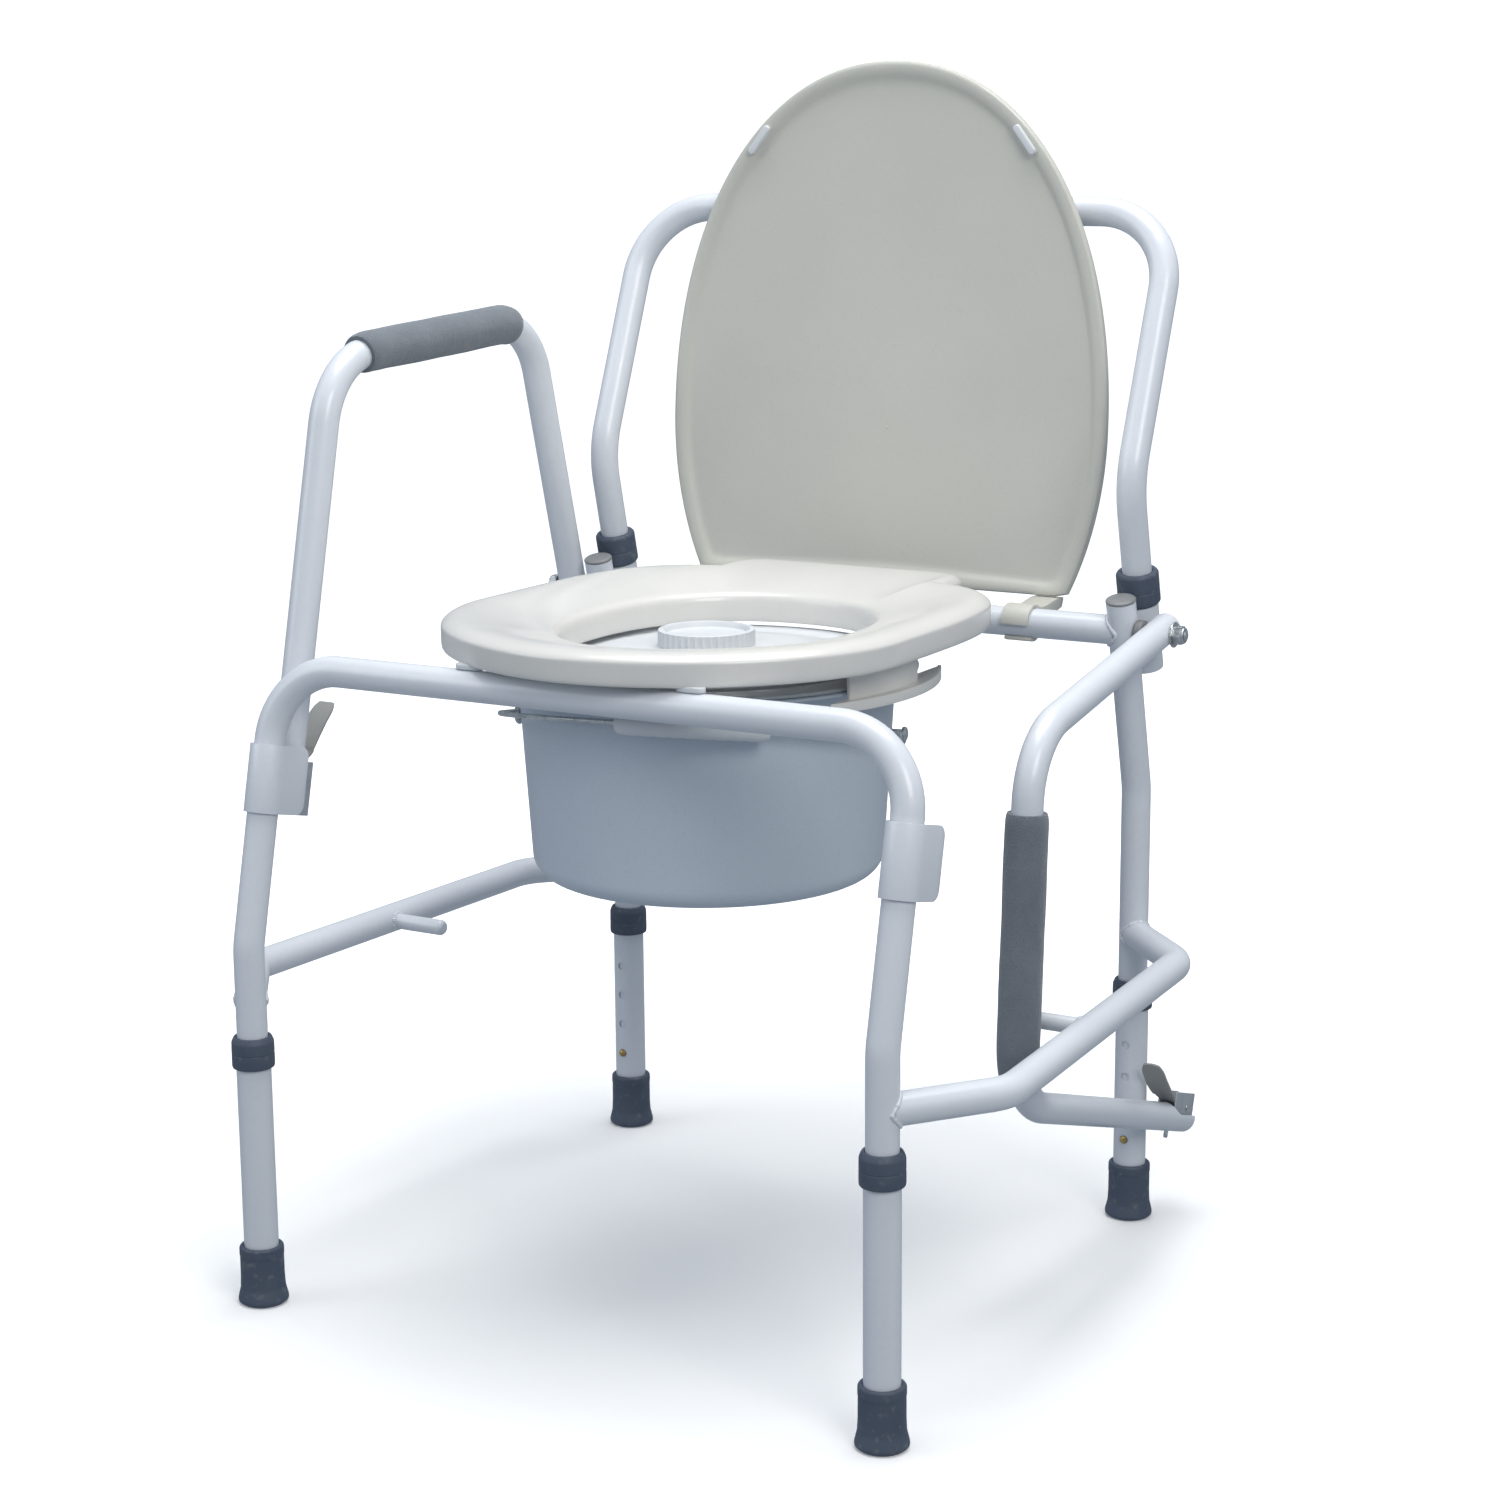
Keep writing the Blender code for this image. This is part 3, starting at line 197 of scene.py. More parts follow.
def look(name, base, rough, broad, gloss, bumps, specks=None, metal=0.0, **sockets):
    """A material whose colour, roughness and surface all vary, from noise at several scales.

    broad: scale, detail, from, to and the second colour. specks: scale, detail, from, to, share
    and colour. gloss: scale, detail, lowest and highest roughness. bumps: scale, detail,
    distance and, where it runs one way, stretch.
    """
    m = Nodes(name, base, rough, metal, **sockets)
    scale, detail, low, high, colour = broad
    under = m.tint(m.ramp(m.spot(scale, detail), low, high), colour)
    if specks:
        scale, detail, low, high, share, colour = specks
        m.tint(m.ramp(m.spot(scale, detail), low, high, 0, share), colour, under)
    scale, detail, low, high = gloss
    m.roughness(m.spot(scale, detail), low, high)
    m.bump([(m.spot(scale, detail, stretch=(stretch or [None])[0]), distance)
            for scale, detail, distance, *stretch in bumps])
    return m.mat


def foam():
    """Closed-cell foam: dark dots of painted shade where its pores lie, over soft waves."""
    m = Nodes("foam", (0.175, 0.198, 0.228), 0.9, Sheen_Weight=0.35, Sheen_Roughness=0.5)
    under = m.tint(m.ramp(m.spot(30, 4), 0.35, 0.7), (0.15, 0.17, 0.198))
    # Dark dots of painted shade, standing in for the shadow that falls inside the foam's pores.
    pore_shade = m.ramp(m.spot(900, 1, kind="TexVoronoi"), 0.0, 0.35, 1, 0)
    m.tint(pore_shade, (0.105, 0.12, 0.145), under)
    m.roughness(m.spot(200, 3), 0.8, 0.98)
    m.bump([(m.spot(60, 3), 0.0009), (m.spot(1100, 1, kind="TexVoronoi"), 0.0004)])
    return m.mat


# The roughness of a glossy coat stays at 0.3 or more; below that, single dark dots show.
LOOK = {
    "powder_coat": look(
        "powder_coat", (0.74, 0.765, 0.81), 0.3, (14, 3, 0.35, 0.7, (0.72, 0.745, 0.79)),
        (60, 3, 0.3, 0.4), [(220, 2, 0.00003)], (240, 2, 0.4, 0.75, 0.3, (0.68, 0.705, 0.755)),
        Coat_Weight=0.35, Coat_Roughness=0.12),
    "seat_plastic": look(
        "seat_plastic", (0.74, 0.725, 0.69), 0.3, (9, 3, 0.35, 0.7, (0.70, 0.685, 0.655)),
        (45, 4, 0.3, 0.4), [(200, 2, 0.00003)], (240, 2, 0.4, 0.75, 0.3, (0.68, 0.665, 0.635)),
        Coat_Weight=0.5, Coat_Roughness=0.1),
    "lid_plastic": look(
        "lid_plastic", (0.62, 0.61, 0.55), 0.42, (6, 3, 0.32, 0.7, (0.58, 0.575, 0.52)),
        (30, 4, 0.36, 0.5), [(900, 3, 0.00006)], (620, 2, 0.56, 0.75, 0.5, (0.52, 0.515, 0.475))),
    "pail_plastic": look(
        "pail_plastic", (0.58, 0.635, 0.71), 0.38, (8, 3, 0.35, 0.7, (0.55, 0.605, 0.68)),
        (40, 4, 0.36, 0.5), [(820, 3, 0.00006)], (560, 2, 0.55, 0.75, 0.5, (0.48, 0.53, 0.60))),
    "pail_lid_plastic": look(
        "pail_lid_plastic", (0.70, 0.72, 0.74), 0.36, (12, 3, 0.35, 0.7, (0.66, 0.68, 0.70)),
        (50, 4, 0.3, 0.46), [(700, 3, 0.00004)]),
    "foam": foam(),
    "rubber": look(
        "rubber", (0.065, 0.085, 0.125), 0.55, (40, 4, 0.35, 0.7, (0.08, 0.1, 0.14)),
        (90, 4, 0.42, 0.7), [(700, 3, 0.00012)], (160, 5, 0.58, 0.72, 0.6, (0.16, 0.175, 0.2))),
    "cap_plastic": look(
        "cap_plastic", (0.22, 0.225, 0.23), 0.45, (60, 4, 0.35, 0.7, (0.26, 0.265, 0.27)),
        (120, 3, 0.36, 0.55), [(800, 3, 0.00006)]),
    "zinc": look(
        "zinc", (0.62, 0.64, 0.65), 0.3, (150, 4, 0.4, 0.7, (0.46, 0.47, 0.47)),
        (240, 5, 0.2, 0.48), [(900, 3, 0.00005, (1, 1, 0.15))], metal=1.0),
    "latch_sheet": look(
        "latch_sheet", (0.50, 0.52, 0.55), 0.42, (90, 5, 0.4, 0.7, (0.42, 0.44, 0.47)),
        (160, 4, 0.32, 0.52), [(700, 3, 0.00006, (1, 0.2, 1))], metal=0.55),
    "latch_paddle": look(
        "latch_paddle", (0.33, 0.33, 0.32), 0.5, (50, 4, 0.4, 0.7, (0.33, 0.33, 0.31)),
        (120, 3, 0.4, 0.6), [(600, 3, 0.00008)]),
    "brass": look(
        "brass", (0.60, 0.44, 0.18), 0.3, (200, 4, 0.4, 0.7, (0.42, 0.28, 0.1)),
        (300, 4, 0.22, 0.5), [(900, 2, 0.00004)], metal=1.0),
}


# ------------------------------------------------------------------ mesh tools

def make(name, verts, faces, smooth=35):
    mesh = bpy.data.meshes.new(name)
    mesh.from_pydata([tuple(v) for v in verts], [], faces)
    work = bmesh.new()
    work.from_mesh(mesh)
    bmesh.ops.recalc_face_normals(work, faces=work.faces)
    work.to_mesh(mesh)
    work.free()
    obj = bpy.data.objects.new(name, mesh)
    bpy.context.scene.collection.objects.link(obj)
    shade(mesh, smooth)
    return obj


def shade(mesh, smooth=35):
    for poly in mesh.polygons:
        poly.use_smooth = True
    mesh.set_sharp_from_angle(angle=math.radians(smooth))


def freeze(obj, smooth=35):
    """Turns the object's modifiers into mesh."""
    graph = bpy.context.evaluated_depsgraph_get()
    mesh = bpy.data.meshes.new_from_object(obj.evaluated_get(graph))
    obj.modifiers.clear()
    obj.data = mesh
    shade(mesh, smooth)
    return obj


def combine(obj, others, operation):
    """Cuts the other pieces out of this one or joins them to it; they are gone afterwards."""
    for other in others:
        mod = obj.modifiers.new("combine", "BOOLEAN")
        mod.operation = operation
        mod.solver = "EXACT"
        mod.object = other
    freeze(obj)
    for other in others:
        bpy.data.objects.remove(other, do_unlink=True)
    return obj


def cut(obj, *cutters):
    return combine(obj, cutters, "DIFFERENCE")


def bevel(obj, width, segments=3):
    mod = obj.modifiers.new("edges", "BEVEL")
    mod.width = width
    mod.segments = segments
    mod.limit_method = "ANGLE"
    mod.angle_limit = math.radians(35)
    mod.use_clamp_overlap = True
    return freeze(obj, 40)


def subdivide(obj):
    mod = obj.modifiers.new("smooth", "SUBSURF")
    mod.levels = 1
    mod.render_levels = 1
    return freeze(obj, 60)


def show(obj, node, slot=None, body=None, stands=True):
    """Sets a piece in the part's frame, on its body, in its material."""
    slot = slot or SLOT_OF[node]
    obj.data.transform(Matrix.Translation((0, Y0, 0)))
    obj.data.materials.clear()
    obj.data.materials.append(LOOK[slot])
    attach(obj, body or BODY_OF[node])
    if stands:
        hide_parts(node)
    return obj


def fillet(points, radii, steps=18):
    """Rounds the inner corners of a polyline."""
    pts = [Vector(p) for p in points]
    out = [pts[0]]
    for i in range(1, len(pts) - 1):
        a = (pts[i - 1] - pts[i]).normalized()
        b = (pts[i + 1] - pts[i]).normalized()
        angle = a.angle(b)
        reach = radii[i - 1] / math.tan(angle / 2)
        start = pts[i] + a * reach
        centre = pts[i] + (a + b).normalized() * (radii[i - 1] / math.sin(angle / 2))
        first = start - centre
        axis = first.cross(pts[i] + b * reach - centre).normalized()
        turn = math.pi - angle
        count = max(6, round(steps * turn / 1.4))
        for k in range(count + 1):
            out.append(centre + Matrix.Rotation(turn * k / count, 3, axis) @ first)
    out.append(pts[-1])
    return out


def rings(path, radius, sides, up=(0, 1, 0)):
    """Rings of points round a path; radius is a number or one number for each point."""
    tangents = []
    for i in range(len(path)):
        before = path[i] - path[i - 1] if i else path[1] - path[0]
        after = path[i + 1] - path[i] if i < len(path) - 1 else before
        tangents.append((before.normalized() + after.normalized()).normalized())
    side = tangents[0].cross(Vector(up)).normalized()
    out = []
    for i, point in enumerate(path):
        size = radius[i] if isinstance(radius, (list, tuple)) else radius
        side = (side - tangents[i] * side.dot(tangents[i])).normalized()
        other = tangents[i].cross(side)
        out.append([point + size * (math.cos(t) * side + math.sin(t) * other)
                    for t in (2 * math.pi * k / sides for k in range(sides))])
    return out


def bridge(a, b, sides):
    """Faces between two rings whose first points are a and b."""
    return [(a + k, a + (k + 1) % sides, b + (k + 1) % sides, b + k) for k in range(sides)]


def loops(name, all_rings, sides, closed=False, smooth=35):
    """A skin through rings of equal length, capped at both ends or closed into a loop."""
    verts = [p for ring in all_rings for p in ring]
    faces = []
    count = len(all_rings)
    for i in range(count if closed else count - 1):
        faces += bridge(i * sides, (i + 1) % count * sides, sides)
    if not closed:
        faces.append(tuple(range(sides)))
        faces.append(tuple(reversed(range((count - 1) * sides, count * sides))))
    return make(name, verts, faces, smooth)


def tube(name, path, radius, wall=1.3 * MM, sides=40, up=(0, 1, 0)):
    """A hollow tube with rounded lips at its open ends, or a solid rod when wall is 0."""
    outer = rings(path, radius, sides, up)
    if not wall:
        return loops(name, outer, sides)
    inner = rings(path, radius - wall, sides, up)
    lip = 0.3 * wall
    first = rings([path[0], path[1]], radius - lip, sides, up)[0]
    back = (path[0] - path[1]).normalized() * -lip
    start = [[p + back for p in outer[0]], first, rings(path, radius - wall + lip, sides, up)[0],
             [p + back for p in inner[0]]]
    tail = (path[-1] - path[-2]).normalized() * -lip
    close = [[p + tail for p in outer[-1]], rings(path, radius - lip, sides, up)[-1],
             rings(path, radius - wall + lip, sides, up)[-1], [p + tail for p in inner[-1]]]
    around = start[:1] + outer[1:-1] + close + inner[-2:0:-1] + start[:0:-1]
    return loops(name, around, sides, closed=True)


def moved(obj, matrix):
    """The piece with its mesh put through a matrix."""
    obj.data.transform(matrix)
    return obj


def lathe(name, profile, centre=(0, 0, 0), sides=48, axis="Z", closed=True):
    """Turns a (radius, height) loop about an axis through centre."""
    verts, faces, slots = [], [], []
    for radius, height in profile:
        if radius < 1e-9:
            slots.append((len(verts), 1))
            verts.append(Vector((0, 0, height)))
            continue
        slots.append((len(verts), sides))
        for k in range(sides):
            turn = 2 * math.pi * (k + 0.5) / sides
            verts.append(Vector((radius * math.cos(turn), radius * math.sin(turn), height)))
    pairs = list(zip(slots, slots[1:] + slots[:1]))
    for (a, na), (b, nb) in (pairs if closed else pairs[:-1]):
        if na == 1 and nb == 1:
            continue
        for k in range(sides):
            n = (k + 1) % sides
            if na == 1:
                faces.append((a, b + n, b + k))
            elif nb == 1:
                faces.append((a + k, a + n, b))
            else:
                faces.append((a + k, a + n, b + n, b + k))
    turn = Matrix.Rotation(math.radians(90 if axis == "X" else 0), 3, "Y")
    return make(name, [turn @ v + Vector(centre) for v in verts], faces)


def round_profile(points, size, steps=4):
    """Rounds the corners of a closed (radius, height) loop; corners on the axis stay."""
    out = []
    count = len(points)
    for i, p in enumerate(points):
        p = Vector(p)
        a = Vector(points[i - 1]) - p
        b = Vector(points[(i + 1) % count]) - p
        if p.x < 1e-9 or min(a.length, b.length) < 1e-9 or a.angle(b) > STRAIGHT:
            out.append(tuple(p))
            continue
        reach = min(size, 0.45 * a.length, 0.45 * b.length)
        start, end = p + a.normalized() * reach, p + b.normalized() * reach
        for k in range(steps + 1):
            t = k / steps
            out.append(tuple((1 - t) ** 2 * start + 2 * t * (1 - t) * p + t * t * end))
    return out


def prism(name, outline, depth, place, smooth=35):
    """An outline drawn out by depth to both sides of a frame's XY plane."""
    count = len(outline)
    verts = [place @ Vector((u, v, -depth)) for u, v in outline]
    verts += [place @ Vector((u, v, depth)) for u, v in outline]
    faces = [tuple(reversed(range(count))), tuple(range(count, 2 * count))]
    faces += bridge(0, count, count)
    return make(name, verts, faces, smooth)


def block(name, low, high):
    outline = [(low[0], low[1]), (high[0], low[1]), (high[0], high[1]), (low[0], high[1])]
    place = Matrix.Translation((0, 0, (low[2] + high[2]) / 2))
    return prism(name, outline, (high[2] - low[2]) / 2, place, 0)


def rod(name, start, end, radius, sides=32, up=(0, 1, 0)):
    return tube(name, [Vector(start), Vector(end)], radius, 0, sides, up)


def smooth_line(points, per=8):
    """A Catmull-Rom line through points."""
    pts = [Vector(p) for p in points]
    pts = [2 * pts[0] - pts[1]] + pts + [2 * pts[-1] - pts[-2]]
    out = []
    for i in range(1, len(pts) - 2):
        a, b, c, d = pts[i - 1:i + 3]
        for k in range(per):
            t = k / per
            out.append(0.5 * (2 * b + (c - a) * t + (2 * a - 5 * b + 4 * c - d) * t * t
                              + (3 * b - a - 3 * c + d) * t ** 3))
    out.append(pts[-2])
    return out


def tilt_frame(x, y, z, direction):
    """Places local Z along a direction in the YZ plane and keeps local X as X."""
    up = Vector(direction).normalized()
    across = Vector((1, 0, 0))
    turn = Matrix((across, up.cross(across), up)).transposed().to_4x4()
    return Matrix.Translation((x, y, z)) @ turn


def turned(degrees, axis):
    return Matrix.Rotation(math.radians(degrees), 4, axis)


def side_plane(place):
    """Turns a frame so that an outline's (u, v) lie on its local Y and Z."""
    return place @ Matrix(((0, 0, 1, 0), (1, 0, 0, 0), (0, 1, 0, 0), (0, 0, 0, 1)))


def weld(name, node, centre, along, axis, r=R_TUBE, seed=0):
    """A weld bead where a tube of radius r, running along, meets a round post on axis."""
    along, axis = Vector(along).normalized(), Vector(axis).normalized()
    s = along.cross(axis).normalized()
    t = s.cross(along).normalized()
    count, size = 72, 1.5 * MM
    path = []
    for k in range(count):
        turn = 2 * math.pi * k / count
        p = Vector(centre) + r * (math.cos(turn) * s + math.sin(turn) * t)
        q = p - Vector(centre)
        flat_q = q - axis * q.dot(axis)
        flat_d = along - axis * along.dot(axis)
        a, b = flat_d.dot(flat_d), 2 * flat_q.dot(flat_d)
        c = flat_q.dot(flat_q) - (R_TUBE + 0.1 * MM) ** 2
        root = (-b + math.sqrt(max(0, b * b - 4 * a * c))) / (2 * a)
        path.append(p + along * root)
    out = []
    for k, p in enumerate(path):
        ahead = (path[(k + 1) % count] - path[k - 1]).normalized()
        away = (p - Vector(centre) - along * (p - Vector(centre)).dot(along)).normalized()
        other = ahead.cross(away).normalized()
        grow = size * (1 + 0.16 * math.sin(k * 2.2 + seed) + 0.1 * math.sin(k * 0.9 + 2 * seed))
        out.append([p + grow * (math.cos(u) * away + math.sin(u) * other)
                    for u in (2 * math.pi * j / 10 for j in range(10))])
    return show(loops(name, out, 10, closed=True), node, "powder_coat", stands=False)


# ------------------------------------------------------------------ frame tubes

def lean(z, z_low, z_high, y_low, y_high):
    return y_low + (z - z_low) * (y_high - y_low) / (z_high - z_low)


def front_y(z):
    return lean(z, Z_FRONT_KNEE, Z_FRONT_BAR, 0, Y_FRONT_BAR)


def post_y(z):
    return lean(z, Z_REAR_KNEE, Z_POST_TOP, Y_REAR, Y_POST_TOP)


FRONT_LEAN = (0, Y_FRONT_BAR, Z_FRONT_BAR - Z_FRONT_KNEE)
POST_LEAN = (0, Y_POST_TOP - Y_REAR, Z_POST_TOP - Z_REAR_KNEE)
Z_END = 50 * MM


def frame_tubes():
    ends = [(-X_FRONT, 0, Z_END), (-X_FRONT, 0, Z_FRONT_KNEE)]
    ends += [(-X_FRONT, Y_FRONT_BAR, Z_FRONT_BAR), (X_FRONT, Y_FRONT_BAR, Z_FRONT_BAR)]
    ends += [(X_FRONT, 0, Z_FRONT_KNEE), (X_FRONT, 0, Z_END)]
    obj = tube("front_frame_tube", fillet(ends, [60 * MM, 54 * MM, 54 * MM, 60 * MM]), R_TUBE)
    cutters = []
    for side in (-1, 1):
        x = side * X_FRONT
        cutters.append(block("c", (x - 4 * MM, 4.2 * MM, 40 * MM), (x + 4 * MM, 20 * MM, 72 * MM)))
        slot = block("c", *mm((-3.5, 4, -32), (3.5, 20, 6)))
        cutters.append(moved(slot, tilt_frame(x, front_y(Z_CATCH), Z_CATCH, FRONT_LEAN)))
    show(cut(obj, *cutters), "front_frame")
    reach = X_REAR - 4 * MM
    bar = [Vector((-reach, Y_AXLE, Z_AXLE)), Vector((reach, Y_AXLE, Z_AXLE))]
    show(tube("rear_crossbar_tube", bar, R_TUBE), "rear_crossbar")
    for side in (-1, 1):
        x = side * X_REAR
        corners = [(x, Y_REAR, Z_END), (x, Y_REAR, Z_REAR_KNEE), (x, Y_POST_TOP, Z_POST_TOP)]
        leg = tube(f"rear_leg_{word(side)}_tube", fillet(corners, [60 * MM]), R_TUBE, up=(1, 0, 0))
        notch = block("c", (x - 4 * MM, Y_REAR - 20 * MM, 40 * MM),
                      (x + 4 * MM, Y_REAR - 4.2 * MM, 72 * MM))
        show(cut(leg, notch), f"rear_leg_{word(side)}")
        weld(f"weld_crossbar_{word(side)}", "rear_crossbar", (x, Y_AXLE, Z_AXLE),
             (-side, 0, 0), POST_LEAN, seed=side)
        side_rail(side)


def side_rail(side):
    front = Vector((side * X_FRONT, 0, Z_RAIL))
    rear = Vector((side * X_REAR, Y_REAR, Z_RAIL))
    corners = [front, (side * RAIL_FRONT[0], RAIL_FRONT[1], Z_RAIL)]
    corners += [(side * RAIL_REAR[0], RAIL_REAR[1], Z_RAIL), rear]
    path = fillet(corners, [34 * MM, 34 * MM])
    at_front = (path[1] - path[0]).normalized()
    at_rear = (path[-2] - path[-1]).normalized()
    path[0] = path[0] + at_front * 4 * MM
    path[-1] = path[-1] + at_rear * 4 * MM
    show(tube(f"side_rail_{word(side)}_tube", path, R_TUBE, up=(0, 0, 1)),
         f"side_rail_{word(side)}")
    weld(f"weld_rail_front_{word(side)}", f"side_rail_{word(side)}", front, at_front,
         (0, 0, 1), seed=1)
    weld(f"weld_rail_rear_{word(side)}", f"side_rail_{word(side)}", rear, at_rear,
         (0, 0, 1), seed=2)
    share = (PEG_Y - RAIL_FRONT[1]) / (RAIL_REAR[1] - RAIL_FRONT[1])
    root = side * (RAIL_FRONT[0] + share * (RAIL_REAR[0] - RAIL_FRONT[0]))
    long = abs(root) - PEG_TIP_X
    profile = mm((0, 0), (4, 0), (6, 2.5)) + [(6 * MM, long), (0, long)]
    peg = lathe(f"stop_peg_{word(side)}_rod", round_profile(profile, 1 * MM), sides=32)
    place = Matrix.Translation((side * PEG_TIP_X, PEG_Y, Z_RAIL)) @ turned(90 * side, "Y")
    show(moved(peg, place), f"stop_peg_{word(side)}")
    ahead = (side * (RAIL_REAR[0] - RAIL_FRONT[0]), RAIL_REAR[1] - RAIL_FRONT[1], 0)
    weld(f"weld_peg_{word(side)}", f"stop_peg_{word(side)}", (root, PEG_Y, Z_RAIL),
         (-side, 0, 0), ahead, r=6 * MM, seed=3)


def catch_bracket(side):
    """A plate bent round the leg, its two flanges open to the rear."""
    inner, plate, reach, half, corner = 12 * MM, 1.6 * MM, 29 * MM, 24.5 * MM, 8 * MM
    steps = [math.cos(math.radians(90 - 90 * k / 8)) for k in range(9)]
    columns = [(1, reach - corner + corner * s) for s in reversed(steps)]
    columns += [(1, reach * 0.35)] + [(0, k * 180 / 24) for k in range(25)] + [(-1, reach * 0.35)]
    columns += [(-1, reach - corner + corner * s) for s in steps]
    out = []
    for kind, value in columns:
        high = half
        if kind:
            into = max(0, value - (reach - corner))
            high = half - (corner - math.sqrt(max(0, corner ** 2 - into ** 2)))
        ring = []
        for radius, z in ((inner, -high), (inner + plate, -high), (inner + plate, high),
                          (inner, high)):
            if kind:
                ring.append(Vector((kind * radius, value, z)))
            else:
                turn = math.radians(value)
                ring.append(Vector((radius * math.cos(turn), -radius * math.sin(turn), z)))
        out.append(ring)
    obj = loops(f"catch_bracket_{word(side)}_plate", out, 4)
    moved(obj, tilt_frame(side * X_FRONT, front_y(Z_BRACKET), Z_BRACKET, FRONT_LEAN))
    show(bevel(obj, 0.45 * MM, 3), f"catch_bracket_{word(side)}")


def sleeve_y(z):
    return post_y(z) + SLEEVE_BACK / math.cos(math.radians(14))


def post_parts(side):
    """The rear post's cap, the backrest's sleeve with its welds, and the rubber collar above."""
    w = word(side)
    profile = mm((0, 3.4), (9.6, 3.0), (11.4, 1.8)) + [(11.4 * MM, GAP), (9.4 * MM, GAP)]
    profile += mm((9.0, -8), (0, -8))
    cap = lathe(f"post_cap_{w}_plug", round_profile(profile, 0.9 * MM))
    show(moved(cap, tilt_frame(side * X_REAR, Y_POST_TOP, Z_POST_TOP, POST_LEAN)), f"post_cap_{w}")
    outer, web, half = 14 * MM, 2.2 * MM, 26 * MM
    reach = SLEEVE_BACK - R_TUBE - GAP
    outline = [(web, -reach), (-web, -reach)]
    start = math.asin(web / outer)
    for k in range(41):
        turn = start + (2 * math.pi - 2 * start) * k / 40
        outline.append((-outer * math.sin(turn), -outer * math.cos(turn)))
    place = tilt_frame(side * X_BACK, sleeve_y(Z_SLEEVE), Z_SLEEVE, POST_LEAN)
    sleeve = prism(f"backrest_sleeve_{w}_socket", outline, half, place)
    bore = rod("c", place @ Vector((0, 0, -1.5 * half)), place @ Vector((0, 0, 1.5 * half)),
               R_TUBE + 0.4 * MM, 48, (1, 0, 0))
    show(bevel(cut(sleeve, bore), 0.5 * MM), f"backrest_sleeve_{w}")
    for end, at in (("low", -22), ("high", 22)):
        line = [place @ Vector((u * MM, 1.0 * MM - reach, (at + rise) * MM))
                for u, rise in ((-4, 0), (-2.6, 1.5), (0, 2), (2.6, 1.5), (4, 0))]
        round_line = rings(smooth_line(line, 4), 1.3 * MM, 10, (0, 0, 1))
        show(loops(f"weld_sleeve_{w}_{end}", round_line, 10), f"backrest_sleeve_{w}",
             "powder_coat", stands=False)
    bore = R_TUBE + GAP
    profile = [(bore, -14 * MM)]
    profile += mm((15.4, -14), (16, -13), (16, -4), (15.5, -3.4), (16, -2.8), (16, 9), (14.6, 11))
    profile += [(bore, 11 * MM)]
    collar = lathe(f"backrest_collar_{w}_ring", round_profile(profile, 0.8 * MM))
    place = tilt_frame(side * X_BACK, sleeve_y(Z_BACK_COLLAR), Z_BACK_COLLAR, POST_LEAN)
    show(moved(collar, place), f"backrest_collar_{w}")


def backrest():
    low, knee, top = 442 * MM, 577 * MM, 770 * MM
    corners = [(-X_BACK, sleeve_y(low), low), (-X_BACK, sleeve_y(knee), knee)]
    corners.append((-X_BACK, sleeve_y(knee) + (top - knee) * 0.41, top))
    corners += [(-x, y, z) for x, y, z in reversed(corners)]
    path = fillet(corners, [70 * MM, 60 * MM, 60 * MM, 70 * MM], 20)
    show(tube("backrest_tube_frame", path, R_TUBE), "backrest_tube")
    for side, a, b in ((-1, path[0], path[1]), (1, path[-1], path[-2])):
        profile = mm((0, -2.2), (8, -2), (10.8, -1.4), (10.8, -0.3), (9.6, 0), (9.6, 9), (0, 9))
        plug = lathe(f"backrest_plug_{word(side)}", round_profile(profile, 0.7 * MM), sides=40)
        show(moved(plug, tilt_frame(*a, b - a)), "backrest_tube", "cap_plastic", stands=False)


# ------------------------------------------------------------------ legs

def legs():
    for side in (-1, 1):
        for label, x, y, facing, top in (
                (f"front_{word(side)}", side * X_FRONT, 0.0, 1, 188 * MM),
                (f"rear_{word(side)}", side * X_REAR, Y_REAR, -1, 178 * MM)):
            leg(label, x, y, facing, top)


def leg(label, x, y, facing, top):
    """One telescopic leg: tube with holes, collar, rubber foot and snap button."""
    bore = 11.5 * MM
    profile = [(bore, 8 * MM), (R_LEG, 8 * MM), (R_LEG, top), (bore, top)]
    pipe = lathe(f"leg_extension_{label}_tube", profile, (x, y, 0), 48)
    holes = [rod("c", (x, y + facing * 4 * MM, z), (x, y + facing * 20 * MM, z), 3.3 * MM, 24,
                 (1, 0, 0)) for z in (Z_HOLE + HOLE_PITCH * k for k in range(HOLES))]
    show(cut(pipe, *holes), f"leg_extension_{label}")
    bore = R_LEG + GAP
    steps = mm((15.0, -9), (15.3, -7), (15.3, 1), (14.9, 1.5), (15.3, 2), (15.2, 10), (13.4, 14))
    profile = [(bore, top - 9 * MM)] + [(r, top + h) for r, h in steps]
    profile += [(R_TUBE + GAP, top + 14 * MM), (R_TUBE + GAP, top + GAP), (bore, top + GAP)]
    show(lathe(f"leg_collar_{label}_ring", round_profile(profile, 0.8 * MM), (x, y, 0)),
         f"leg_collar_{label}")
    profile = mm((0, 1.2), (9, 1.2), (9, 0), (11, 0), (11, 1.2), (13, 1.2), (13, 0), (15.6, 0),
                 (18.2, 2.2), (18.2, 4.2), (17.3, 8), (16.3, 12), (15.9, 20), (15.8, 36),
                 (16.1, 37), (16.1, 42.6), (15.0, 44))
    profile += [(bore, 44 * MM), (bore, 7.5 * MM), (0, 7.5 * MM)]
    show(lathe(f"foot_tip_{label}_rubber", round_profile(profile, 0.9 * MM), (x, y, 0)),
         f"foot_tip_{label}")
    profile = mm((0, 8.8), (3, 8.8), (3, 13.0), (2.8, 13.7), (2.2, 14.4), (1.2, 14.8), (0, 14.9))
    button = lathe(f"snap_button_{label}_pin", profile, sides=24)
    place = Matrix.Translation((x, y, Z_HOLE)) @ turned(-90 * facing, "X")
    show(moved(button, place), f"snap_button_{label}")


# ------------------------------------------------------------------ armrests

